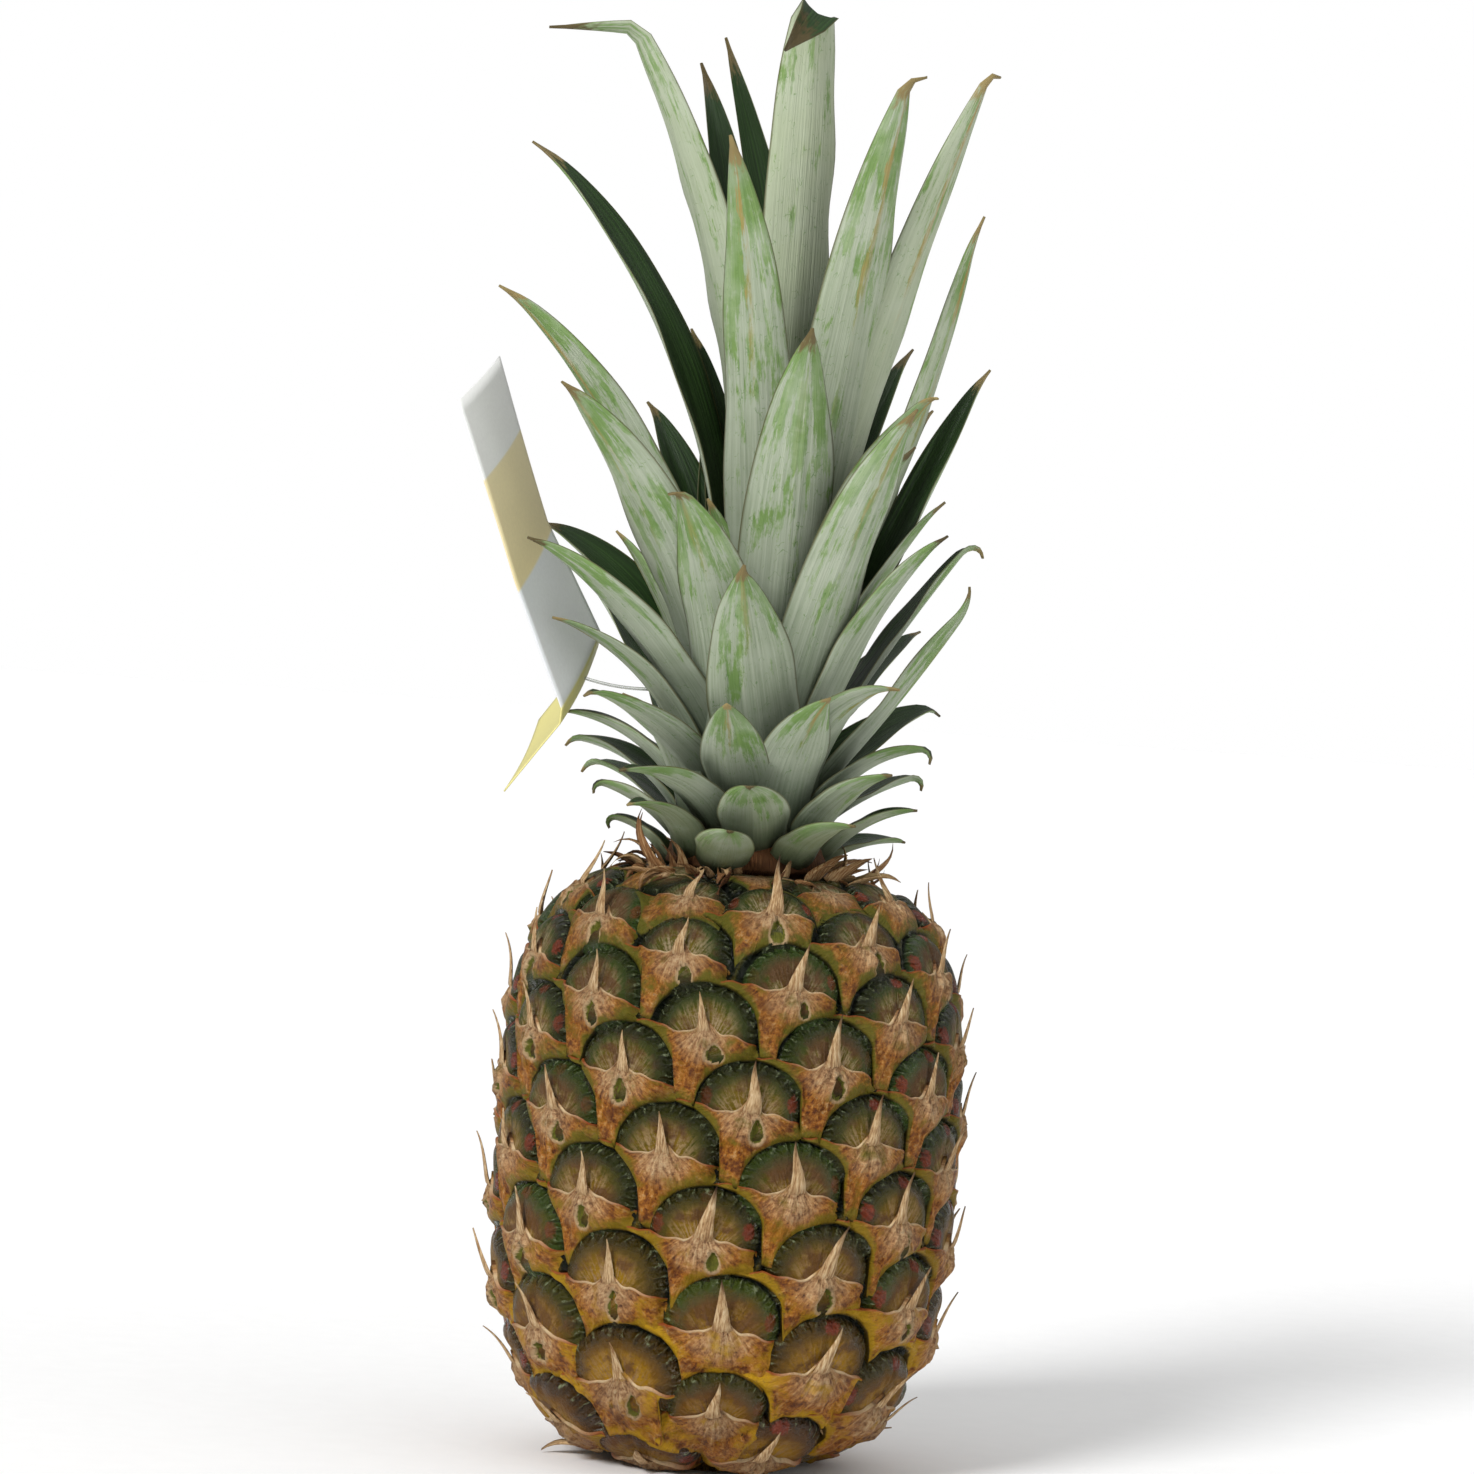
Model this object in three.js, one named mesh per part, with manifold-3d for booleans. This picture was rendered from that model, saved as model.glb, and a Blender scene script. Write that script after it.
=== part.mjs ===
// A pineapple standing on its base, in millimetres, +Z up, with its front towards -Y.
// The origin is the middle of the flat spot that it rests on.
// The fruit is one closed surface: a barrel whose fruitlets lie on one spiral, each with a domed eye
// and a bract that runs out into a spine. The crown is one body: leaves on a short stem, in a spiral of
// their own. A plain paper tag hangs in the crown on a thin plastic pin.
import * as THREE from "three";
import { mergeVertices } from "three/addons/utils/BufferGeometryUtils.js";
import Module from "manifold-3d";

const wasm = await Module();
wasm.setup();

const rad = THREE.MathUtils.degToRad;
const mix = THREE.MathUtils.lerp;
const clamp = THREE.MathUtils.clamp;
const MERGE_WITHIN = 1e-4;

// Barrel of the fruit under its relief: two superellipse halves that meet at the widest height.
const BARREL_RADIUS = 57.5;
const WIDEST_HEIGHT = 85;
const UPPER_HALF = { height: 72, power: 3.5 };
const LOWER_HALF = { height: 83, power: 3 };
const PROFILE_STEPS = 1600;

// Spiral of fruitlets, numbered upwards from below, with number 0 high on the front.
const FIRST_FRUITLET = -69;
const LAST_FRUITLET = 36;
const FRUITLET_AREA = 510;
const AREA_LOSS_PER_FRUITLET = 2.63;
const FIRST_ARC = 151.1;
const FIRST_TURN = -7.9;
const DIVERGENCE = 137.585;
const DIVERGENCE_BEND = 0.00954;
const DIVERGENCE_TWIST = 0.000227;
const BENT_FROM = -60;
const BENT_TO = 29;
const LEAST_ROW_RADIUS = 22;
// Neighbours on the spiral: each patch n, n + 5, n + 13, n + 8 is cut along its shorter diagonal.
const LEFT_STEP = 5;
const RIGHT_STEP = 8;

// Flat spot, cut stalk and the seat of the crown.
const FOOT_RADIUS = 20;
const FOOT_CLEAR = 0.4;
const STALK_RADIUS = 10.5;
const STALK_GROOVE = { inner: 11.5, outer: 14.5, rim: 16, depth: 1.6 };
const NECK_RADIUS = 19.5;
const SEAT_RADIUS = 17;
const SEAT_DEPTH = 2.4;
const SEAT_BEVEL = 0.6;
const RING_SIDES = 16;
const GAP = 0.4;

// One fruitlet, for a cell of FRUITLET_AREA, as its distances sideways, upwards and out of the barrel.
const EYE = { width: 12.3, height: 8.1, middle: 1, rise: 2.7 };
const EYE_TOP = { width: 6.6, height: 3, middle: 4.8, rise: 4.1, dimple: 3.4 };
const ARMS = { reach: 6.6, level: -0.7, rise: 3.6 };
const SKIRT = { reach: 8, level: -5, rise: 2.6, lowest: -8.6, lowestRise: 1.4 };
const HUB = { half: 2.5, level: -0.8, rise: 4.4 };
const HUB_ENDS = { lower: -2.8, lowerRise: 5.4, upper: 1.1, upperRise: 3.9 };
const SPINE = { bend: 5.5, bendRise: 6.4, tip: 12.5, tipRise: 7.4, half: 0.9, thick: 0.8 };
const CELL_SHARE = 0.87;
const FADE_FROM = 20;
const FADED_RELIEF = 0.3;
const NECK_SPINE_RISE = 10;
const NECK_SPINE_RADIUS = 29;

// Crown: golden-angle spiral of leaves on a short stem, numbered from the lowest.
const LEAVES = 74;
const GOLDEN_ANGLE = 137.508;
const CROWN_TURN = -16;
const CROWN_FOOT = 158;
const STEM = { height: 56, top: 3.5, foot: 22, flare: 3.6 };
const STEM_WAIST = { share: 0.4, radius: 16.8 };
const STEM_NECK = { share: 0.75, radius: 9.45 };
const LEAF_SPAN = { start: 1.5, rise: 50.5, risePower: 0.9, base: 21, basePower: 0.75, inner: 3, roots: 5 };
const LEAF_THICK = { root: 1.9, tip: 1, edge: 0.8 };
const LEAF_BOW = { root: 52, middle: 30, tip: 42, middleAt: 0.4 };
const LEAF_TIP_HALF = 0.9;
const LEAF_OUTLINE = { root: 0.88, widestAt: 0.3, power: 2.2 };
const ACROSS = [-1, 0, 1];
const SHORT_LEAF = 60;
const SHORT_CUTS = [0, 0.35, 0.7, 1];
const LONG_CUTS = [0, 0.25, 0.5, 0.7, 0.875, 1];
const MIDLINE_STEPS = 48;

// What a leaf is like along the spiral, from the lowest (0) to the innermost (1).
const LENGTH_RULE = [
  [0, 26], [0.12, 34], [0.25, 46], [0.4, 72], [0.55, 95], [0.7, 132], [0.82, 166], [1, 172],
];
const LEAN_RULE = [[0, 62], [0.15, 48], [0.3, 36], [0.45, 24], [0.6, 15], [0.8, 8], [1, 3]];
const TIP_LEAN_RULE = [[0, 96], [0.15, 76], [0.3, 58], [0.45, 44], [0.6, 38], [0.8, 24], [1, 8]];
const WIDTH_RULE = [[0, 13], [0.2, 16], [0.5, 19], [0.8, 20], [1, 14]];

// Leaves with a build of their own: number, length, lean at root and tip, sway at root and tip, width.
const OWN_LEAVES = [
  [0, 27, 62, 70, 17, 20, 16], [2, 19, 40, 95, -5, -1, 11], [3, 28, 52, 82, -18, 10, 16],
  [5, 27, 34, 98, 19, -3, 15], [6, 25, 42, 82, 0, 0, 12], [7, 41, 43, 86, 5, 14, 13],
  [8, 34, 54, 71, -5, -10, 19], [10, 25, 46, 82, 5, -1, 14], [11, 31, 38, 70, -14, -2, 18],
  [13, 43, 50, 92, 2, -19, 16], [14, 33, 51, 78, 1, 3, 14], [15, 40, 38, 90, -6, 9, 15],
  [16, 46, 31, 54, -11, 4, 20], [18, 38, 20, 57, 13, 3, 18], [19, 38, 28, 90, -9, 3, 17],
  [21, 49, 55, 58, -1, 3, 18], [22, 52, 43, 74, 1, -5, 15], [23, 39, 33, 87, -1, 0, 15],
  [24, 50, 22, 72, -20, 16, 20], [26, 56, 50, 77, 5, -6, 17], [27, 68, 40, 32, -1, 3, 17],
  [29, 71, 31, 39, -16, -14, 24], [30, 70, 46, 62, -5, -6, 14], [31, 59, 22, 72, 15, -8, 18],
  [32, 76, 12, 44, -5, 3, 18], [34, 86, 21, 41, 5, -10, 23], [35, 81, 32, 39, -1, -2, 15],
  [36, 78, 12, 63, -3, 8, 20], [37, 105, 16, 34, 0, 5, 21], [39, 81, 32, 63, 3, -10, 20],
  [40, 77, 10, 38, 0, -1, 17], [45, 106, 5, 42, -4, 1, 20], [47, 113, 26, 48, -2, -12, 22],
  [48, 110, 24, 24, -1, 2, 17], [49, 92, 3, 36, -4, -4, 16], [50, 113, 15, 27, -4, -7, 25],
  [52, 132, 12, 51, 0, -4, 18], [55, 157, 8, 26, 3, -6, 19], [57, 164, -3, 47, -1, 2, 18],
  [58, 174, 7, 20, 2, -5, 24], [61, 139, 26, 9, 0, 2, 13], [65, 174, -4, 32, 0, -6, 20],
  [66, 175, 11, 21, 3, 1, 17], [67, 170, 5, 16, -1, 12, 16], [71, 172, 2, 7, 0, -4, 20],
  [72, 173, 8, -2, -7, 24, 14],
];

// Leaves that the ones in front of them hide: number and length.
const HIDDEN_LEAVES = [
  [42, 45], [44, 60], [53, 80], [54, 98], [56, 105], [60, 55], [62, 100], [63, 85], [64, 108], [68, 98],
  [69, 115], [70, 100], [73, 98],
];

// Paper tag: a folded strip with the near and far ends of its lower flap, its fold, its middle and its top.
const TAG_THICK = 0.8;
const TAG_EDGES = [
  [[-64.3, -26, 174.9], [-57.6, 9, 192.9]],
  [[-50.8, -26, 193.4], [-43.6, 8, 213.6]],
  [[-50.6, -26, 197.6], [-43.2, 8, 217.4]],
  [[-65.2, -27, 229.6], [-59, 9, 246]],
  [[-83, -27, 275.7], [-74.8, 10, 288.7]],
];
// Plastic pin that holds the tag: it runs through the tag and through a leaf, with a bar at each end.
const PIN = { radius: 0.5, sides: 6, bar: 5, reach: 2.5, hole: 0.9 };
const PIN_THROUGH_TAG = [-47, -8, 206];
const PIN_THROUGH_LEAF = [-28, -9, 204];

/** Value of a rule, given as points, at x, with straight lines between the points. */
function ruled(points, x) {
  const after = points.findIndex(([at]) => at >= x);
  if (after <= 0) return after ? points.at(-1)[1] : points[0][1];
  const [x0, y0] = points[after - 1];
  const [x1, y1] = points[after];
  return mix(y0, y1, (x - x0) / (x1 - x0));
}

/** The shortest turn in degrees from one angle to another, from -180 to 180. */
function turnBetween(from, to) {
  return THREE.MathUtils.euclideanModulo(to - from + 180, 360) - 180;
}

/** Profile of the barrel from the bottom pole to the top one: arc length s, radius r and height z. */
function barrelProfile() {
  const points = [];
  for (let i = 0; i <= PROFILE_STEPS; i++) {
    const t = Math.PI * (i / PROFILE_STEPS - 0.5);
    const half = t < 0 ? LOWER_HALF : UPPER_HALF;
    const r = BARREL_RADIUS * Math.abs(Math.cos(t)) ** (2 / half.power);
    const z = WIDEST_HEIGHT + half.height * Math.sign(t) * Math.abs(Math.sin(t)) ** (2 / half.power);
    const last = points.at(-1);
    points.push({ r, z, s: last ? last.s + Math.hypot(r - last.r, z - last.z) : 0 });
  }
  return points;
}
const profile = barrelProfile();
const FOOT_ARC = profile.find((p) => p.r >= FOOT_RADIUS).s;
const NECK_ARC = profile.find((p) => p.z > WIDEST_HEIGHT && p.r <= NECK_RADIUS).s;
const LAST_SPINE_ARC = profile.find((p) => p.z > WIDEST_HEIGHT && p.r <= NECK_SPINE_RADIUS).s;
const SEAT_HEIGHT = profile.at(-1).z - SEAT_DEPTH;

/** Radius, height and outward direction of the barrel at arc length s. */
function barrelAt(s) {
  const after = clamp(profile.findIndex((p) => p.s > s), 1, PROFILE_STEPS);
  const a = profile[after - 1];
  const b = profile[after];
  const share = clamp((s - a.s) / (b.s - a.s), 0, 1);
  const step = Math.hypot(b.r - a.r, b.z - a.z);
  const slope = { out: (b.z - a.z) / step, up: (a.r - b.r) / step };
  return { r: mix(a.r, b.r, share), z: mix(a.z, b.z, share), ...slope };
}

/** Point over the barrel: turn in degrees from the front, arc length, distance out of the surface. */
function overBarrel(turn, s, rise) {
  const b = barrelAt(s);
  const r = b.r + b.out * rise;
  return new THREE.Vector3(r * Math.sin(rad(turn)), -r * Math.cos(rad(turn)), b.z + b.up * rise);
}

/** Turn of fruitlet n: its divergence grows a little towards both ends. */
function spiralTurn(n) {
  const at = clamp(n, BENT_FROM, BENT_TO);
  const turn = DIVERGENCE * at + DIVERGENCE_BEND * at ** 2 + DIVERGENCE_TWIST * at ** 3;
  const slope = DIVERGENCE + 2 * DIVERGENCE_BEND * at + 3 * DIVERGENCE_TWIST * at ** 2;
  return FIRST_TURN + turn + slope * (n - at);
}

/** Area of the cell of fruitlet n. */
function cellArea(n) {
  return FRUITLET_AREA - AREA_LOSS_PER_FRUITLET * n;
}

/** Turn and arc length of each fruitlet and of the places next to them at both ends, by number. */
function spiralPlaces() {
  const reach = LEFT_STEP + RIGHT_STEP;
  const step = (n, s) => cellArea(n) / (2 * Math.PI * Math.max(barrelAt(s).r, LEAST_ROW_RADIUS));
  const places = new Map([[0, { turn: spiralTurn(0), s: FIRST_ARC }]]);
  for (const way of [1, -1]) {
    const last = (way > 0 ? LAST_FRUITLET : -FIRST_FRUITLET) + reach;
    for (let i = 1; i <= last; i++) {
      const before = places.get(way * (i - 1)).s;
      places.set(way * i, { turn: spiralTurn(way * i), s: before + way * step(way * (i - 0.5), before) });
    }
  }
  return places;
}

/** The triangles between neighbours on the spiral, each as three fruitlet numbers. */
function spiralTriangles(places) {
  const apart = (a, b) => {
    const [p, q] = [places.get(a), places.get(b)];
    const r = Math.max(barrelAt((p.s + q.s) / 2).r, LEAST_ROW_RADIUS);
    return Math.hypot(rad(turnBetween(p.turn, q.turn)) * r, q.s - p.s);
  };
  const triangles = [];
  const reach = LEFT_STEP + RIGHT_STEP;
  for (let n = FIRST_FRUITLET - reach; n <= LAST_FRUITLET; n++) {
    const [left, right, top] = [n + LEFT_STEP, n + RIGHT_STEP, n + reach];
    if (apart(n, top) < apart(left, right)) triangles.push([n, left, top], [n, right, top]);
    else triangles.push([n, left, right], [left, right, top]);
  }
  return triangles;
}

/** A growing mesh with shared vertices. */
class Surface {
  constructor() {
    this.points = [];
    this.faces = [];
  }

  add(point) {
    this.points.push(point);
    return this.points.length - 1;
  }

  /** Fills a flat outline of { id, x, y } with faces that look towards +z. */
  fill(outline) {
    const flat = outline.map((p) => new THREE.Vector2(p.x, p.y));
    for (const [a, b, c] of THREE.ShapeUtils.triangulateShape(flat, [])) {
      const [p, q, r] = [outline[a], outline[b], outline[c]];
      const area = (q.x - p.x) * (r.y - p.y) - (r.x - p.x) * (q.y - p.y);
      this.faces.push(area > 0 ? [p.id, q.id, r.id] : [p.id, r.id, q.id]);
    }
  }

  /** Joins two counter-clockwise loops of { id, x, y }, by their angles about a point inside both. */
  stitch(outer, inner, middle) {
    const angled = (loop) => {
      const all = loop.map((p) => ({ id: p.id, a: Math.atan2(p.y - middle.y, p.x - middle.x) }));
      const first = all.reduce((best, p, i) => (p.a < all[best].a ? i : best), 0);
      const turned = [...all.slice(first), ...all.slice(0, first)];
      return [...turned, { id: turned[0].id, a: turned[0].a + 2 * Math.PI }];
    };
    const [o, n] = [angled(outer), angled(inner)];
    let [i, j] = [0, 0];
    while (i < outer.length || j < inner.length) {
      if (j === inner.length || (i < outer.length && o[i + 1].a < n[j + 1].a)) {
        this.faces.push([o[i].id, o[i + 1].id, n[j].id]);
        i++;
      } else {
        this.faces.push([o[i].id, n[j + 1].id, n[j].id]);
        j++;
      }
    }
  }

  /** Joins two rings of as many points, the second above the first, both counter-clockwise from outside. */
  band(lower, upper) {
    lower.forEach((id, i) => {
      const next = (i + 1) % lower.length;
      this.faces.push([id, lower[next], upper[next]], [id, upper[next], upper[i]]);
    });
  }

  /** Closes a ring with faces that meet at one point. */
  fan(ring, tip) {
    ring.forEach((id, i) => this.faces.push([id, ring[(i + 1) % ring.length], tip]));
  }

  /** The open edges, as rings of point numbers that run against the faces beside them. */
  openRings() {
    const after = new Map();
    const sides = new Set(this.faces.flatMap(([a, b, c]) => [`${a} ${b}`, `${b} ${c}`, `${c} ${a}`]));
    for (const side of sides) {
      const [a, b] = side.split(" ").map(Number);
      if (!sides.has(`${b} ${a}`)) after.set(b, a);
    }
    const rings = [];
    while (after.size) {
      const ring = [];
      for (let id = after.keys().next().value; after.has(id); ) {
        ring.push(id);
        const next = after.get(id);
        after.delete(id);
        id = next;
      }
      rings.push(ring);
    }
    return rings;
  }

  geometry() {
    const made = new THREE.BufferGeometry().setFromPoints(this.points);
    made.setIndex(this.faces.flat());
    return made;
  }
}

/** Points of one fruitlet about the middle of its cell: x sideways, y upwards, h out of the barrel. */
function fruitletShape(scale, fade) {
  const at = (x, y, h) => ({ x: x * scale, y: y * scale, h: h * scale * fade });
  const around = (count, sweep, shape) =>
    Array.from({ length: count }, (_, i) => {
      const a = rad((sweep * i) / (sweep === 360 ? count : count - 1));
      return at(shape.width * Math.cos(a), shape.middle + shape.height * Math.sin(a), shape.rise);
    });
  return {
    rim: around(7, 180, EYE),
    top: around(6, 360, EYE_TOP),
    dimple: at(0, EYE_TOP.middle, EYE_TOP.dimple),
    arms: [at(-ARMS.reach, ARMS.level, ARMS.rise), at(ARMS.reach, ARMS.level, ARMS.rise)],
    skirt: [
      at(-SKIRT.reach, SKIRT.level, SKIRT.rise),
      at(0, SKIRT.lowest, SKIRT.lowestRise),
      at(SKIRT.reach, SKIRT.level, SKIRT.rise),
    ],
    hub: [
      at(0, HUB_ENDS.lower, HUB_ENDS.lowerRise),
      at(HUB.half, HUB.level, HUB.rise),
      at(0, HUB_ENDS.upper, HUB_ENDS.upperRise),
      at(-HUB.half, HUB.level, HUB.rise),
    ],
    bend: [
      at(0, SPINE.bend, SPINE.bendRise + SPINE.thick),
      at(SPINE.half, SPINE.bend, SPINE.bendRise),
      at(0, SPINE.bend, SPINE.bendRise - SPINE.thick),
      at(-SPINE.half, SPINE.bend, SPINE.bendRise),
    ],
    tip: at(0, SPINE.tip, SPINE.tipRise),
  };
}

/** Pulls a point in towards the middle of its cell, so that it stays well inside the cell's corners. */
function insideCell(p, corners) {
  const cross = (a, b) => a.x * b.y - a.y * b.x;
  const shares = corners.map((a, i) => {
    const b = corners[(i + 1) % corners.length];
    const reach = cross({ x: b.x - a.x, y: b.y - a.y }, p);
    return reach < 0 ? (CELL_SHARE * cross(a, b)) / -reach : 1;
  });
  const share = Math.min(1, ...shares);
  return { x: p.x * share, y: p.y * share, h: p.h };
}

/** The corners of every cell, each the middle of a triangle of neighbours, on a surface that they join. */
function cellCorners(surface, places) {
  const cells = new Map();
  for (const three of spiralTriangles(places)) {
    const [first, ...others] = three.map((n) => places.get(n));
    const turn = first.turn + others.reduce((sum, p) => sum + turnBetween(first.turn, p.turn), 0) / 3;
    const middle = (first.s + others[0].s + others[1].s) / 3;
    const s = clamp(middle, FOOT_ARC, NECK_ARC);
    const built = three.filter((n) => n >= FIRST_FRUITLET && n <= LAST_FRUITLET);
    if (!built.length) continue;
    const point = overBarrel(turn, s, 0);
    if (s === FOOT_ARC) point.z = 0;
    const corner = { turn, s, middle, id: surface.add(point) };
    for (const n of built) cells.set(n, [...(cells.get(n) ?? []), corner]);
  }
  return cells;
}

/** Adds one fruitlet inside its corners: its eye, its bract below and the spine on the bract. */
function addFruitlet(surface, n, turnOf, sOf, corners) {
  const r = barrelAt(sOf).r;
  const middleOf = corners.reduce((sum, c) => sum + c.middle, 0) / corners.length;
  const angleOf = (c) => Math.atan2(c.middle - middleOf, rad(turnBetween(turnOf, c.turn)) * r);
  const local = corners
    .toSorted((a, b) => angleOf(a) - angleOf(b))
    .map((c) => ({ id: c.id, x: rad(turnBetween(turnOf, c.turn)) * r, y: c.s - sOf }));
  const scale = Math.sqrt(THREE.ShapeUtils.area(local) / FRUITLET_AREA);
  const high = clamp((n - FADE_FROM) / (LAST_FRUITLET - FADE_FROM), 0, 1);
  const shape = fruitletShape(scale, mix(1, FADED_RELIEF, high));
  shape.tip.h = mix(SPINE.tipRise * scale, NECK_SPINE_RISE, high);
  const put = (p, lastArc = NECK_ARC) => {
    const turn = turnOf + THREE.MathUtils.radToDeg(p.x / r);
    const point = overBarrel(turn, Math.min(sOf + p.y, lastArc), p.h);
    point.z = Math.max(point.z, FOOT_CLEAR);
    return { ...p, id: surface.add(point) };
  };
  const set = (points) => points.map((p) => put(insideCell(p, local)));
  const ids = (points) => points.map((p) => p.id);
  const [rim, top, skirt, hub] = [set(shape.rim), set(shape.top), set(shape.skirt), set(shape.hub)];
  const [left, right] = set(shape.arms);
  surface.stitch(local, [...rim, ...skirt], { x: 0, y: 0 });
  surface.stitch([...rim, left, hub[3], hub[2], hub[1], right], top, shape.dimple);
  surface.fill([rim[6], ...skirt, rim[0], right, hub[1], hub[0], hub[3], left]);
  surface.fan(ids(top), put(shape.dimple).id);
  if (sOf > LAST_SPINE_ARC) {
    surface.fill(hub);
    return;
  }
  const bend = shape.bend.map((p) => put(p));
  surface.band(ids(hub), ids(bend));
  surface.fan(ids(bend), put(shape.tip, LAST_SPINE_ARC).id);
}

/** A circle of points about the axis, counter-clockwise seen from above. */
function addCircle(surface, radius, z) {
  return Array.from({ length: RING_SIDES }, (_, i) => {
    const a = (2 * Math.PI * i) / RING_SIDES;
    const id = surface.add(new THREE.Vector3(radius * Math.cos(a), radius * Math.sin(a), z));
    return { id, x: radius * Math.cos(a), y: radius * Math.sin(a) };
  });
}

/** Closes the neck with the seat of the crown. */
function closeNeck(surface, ring) {
  const rim = addCircle(surface, SEAT_RADIUS + SEAT_BEVEL, profile.at(-1).z - SEAT_BEVEL);
  const floor = addCircle(surface, SEAT_RADIUS, SEAT_HEIGHT);
  surface.stitch(ring, rim, { x: 0, y: 0 });
  surface.stitch(rim, floor, { x: 0, y: 0 });
  surface.fill(floor);
}

/** Closes the foot with the flat spot and the cut stalk, seen from below. */
function closeFoot(surface, ring) {
  const seen = (points) => points.map((p) => ({ ...p, x: -p.x })).toReversed();
  const grooves = [
    addCircle(surface, STALK_GROOVE.rim, 0),
    addCircle(surface, STALK_GROOVE.outer, STALK_GROOVE.depth),
    addCircle(surface, STALK_GROOVE.inner, STALK_GROOVE.depth),
    addCircle(surface, STALK_RADIUS, 0),
  ].map(seen);
  [seen(ring), ...grooves].reduce((outer, inner) => {
    surface.stitch(outer, inner, { x: 0, y: 0 });
    return inner;
  });
  surface.fill(grooves.at(-1));
}

/** The whole fruit: rind with its eyes, bracts and spines, the seat of the crown and the cut stalk. */
function fruitGeometry() {
  const surface = new Surface();
  const places = spiralPlaces();
  for (const [n, corners] of cellCorners(surface, places)) {
    const first = places.get(n).turn;
    const turn = first + corners.reduce((sum, c) => sum + turnBetween(first, c.turn), 0) / corners.length;
    const s = corners.reduce((sum, c) => sum + c.s, 0) / corners.length;
    addFruitlet(surface, n, turn, s, corners);
  }
  for (const ring of surface.openRings()) {
    const loop = ring.map((id) => ({ id, x: surface.points[id].x, y: surface.points[id].y }));
    if (surface.points[ring[0]].z > WIDEST_HEIGHT) closeNeck(surface, loop);
    else closeFoot(surface, loop.toReversed());
  }
  return surface.geometry();
}

/** Closed geometry as a solid. */
function solidOf(geometry) {
  const bare = new THREE.BufferGeometry().setAttribute("position", geometry.getAttribute("position"));
  bare.setIndex(geometry.index);
  const merged = mergeVertices(bare, MERGE_WITHIN);
  return new wasm.Manifold(
    new wasm.Mesh({
      numProp: 3,
      vertProperties: new Float32Array(merged.attributes.position.array),
      triVerts: new Uint32Array(merged.index.array),
    }),
  );
}

/** A solid as geometry; of several bodies only the largest is kept. */
function geometryOf(solid) {
  const largest = solid.decompose().reduce((a, b) => (b.volume() > a.volume() ? b : a));
  const { vertProperties, triVerts, numProp } = largest.getMesh();
  const made = new THREE.BufferGeometry();
  const points = [];
  for (let i = 0; i < vertProperties.length; i += numProp) points.push(...vertProperties.subarray(i, i + 3));
  made.setAttribute("position", new THREE.Float32BufferAttribute(points, 3));
  made.setIndex(Array.from(triVerts));
  return made;
}

/** Everything that makes leaf n what it is. */
function leafBuild(n) {
  const share = n / (LEAVES - 1);
  const turn = rad(CROWN_TURN + GOLDEN_ANGLE * n);
  const hidden = HIDDEN_LEAVES.find(([number]) => number === n)?.[1];
  const longest = hidden ?? ruled(LENGTH_RULE, share);
  const rules = [longest, ruled(LEAN_RULE, share), ruled(TIP_LEAN_RULE, share), 0, 0];
  const own = OWN_LEAVES.find(([number]) => number === n)?.slice(1);
  const [length, lean, tipLean, sway, tipSway, width] = own ?? [...rules, ruled(WIDTH_RULE, share)];
  return { share, turn, length, lean, tipLean, sway, tipSway, width };
}

/** Half width of a leaf at t along it, as a share of its greatest. */
function leafOutline(t) {
  const { root, widestAt, power } = LEAF_OUTLINE;
  if (t < widestAt) return mix(root, 1, Math.sin((Math.PI / 2) * (t / widestAt)));
  return 1 - ((t - widestAt) / (1 - widestAt)) ** power;
}

/** Half the angle that a leaf's channel bends through at t along it. */
function leafBow(t) {
  const { root, middle, tip, middleAt } = LEAF_BOW;
  if (t < middleAt) return rad(mix(root, middle, t / middleAt));
  return rad(mix(middle, tip, (t - middleAt) / (1 - middleAt)));
}

/** Directions of a leaf at t along it: ahead, across to its right edge, and out of its outer face. */
function leafFrame(leaf, t) {
  const lean = rad(mix(leaf.lean, leaf.tipLean, t));
  const sway = rad(mix(leaf.sway, leaf.tipSway, t));
  const out = new THREE.Vector3(Math.sin(leaf.turn), -Math.cos(leaf.turn), 0);
  const side = new THREE.Vector3(Math.cos(leaf.turn), Math.sin(leaf.turn), 0);
  const up = new THREE.Vector3(0, 0, 1);
  const rise = out.clone().multiplyScalar(Math.sin(lean)).addScaledVector(up, Math.cos(lean));
  return {
    ahead: rise.clone().multiplyScalar(Math.cos(sway)).addScaledVector(side, Math.sin(sway)),
    across: side.clone().multiplyScalar(Math.cos(sway)).addScaledVector(rise, -Math.sin(sway)),
    outer: out.clone().multiplyScalar(Math.cos(lean)).addScaledVector(up, -Math.sin(lean)),
  };
}

/** The middle line of a leaf, from its root on the stem to its tip. */
function leafMidline(leaf) {
  const { start, rise, risePower, base, basePower, inner } = LEAF_SPAN;
  const from = base * (1 - leaf.share) ** basePower + inner;
  const z = CROWN_FOOT + start + rise * leaf.share ** risePower;
  const point = new THREE.Vector3(from * Math.sin(leaf.turn), -from * Math.cos(leaf.turn), z);
  const line = [point.clone()];
  for (let i = 0; i < MIDLINE_STEPS; i++) {
    const { ahead } = leafFrame(leaf, (i + 0.5) / MIDLINE_STEPS);
    line.push(point.addScaledVector(ahead, leaf.length / MIDLINE_STEPS).clone());
  }
  return line;
}

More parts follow.
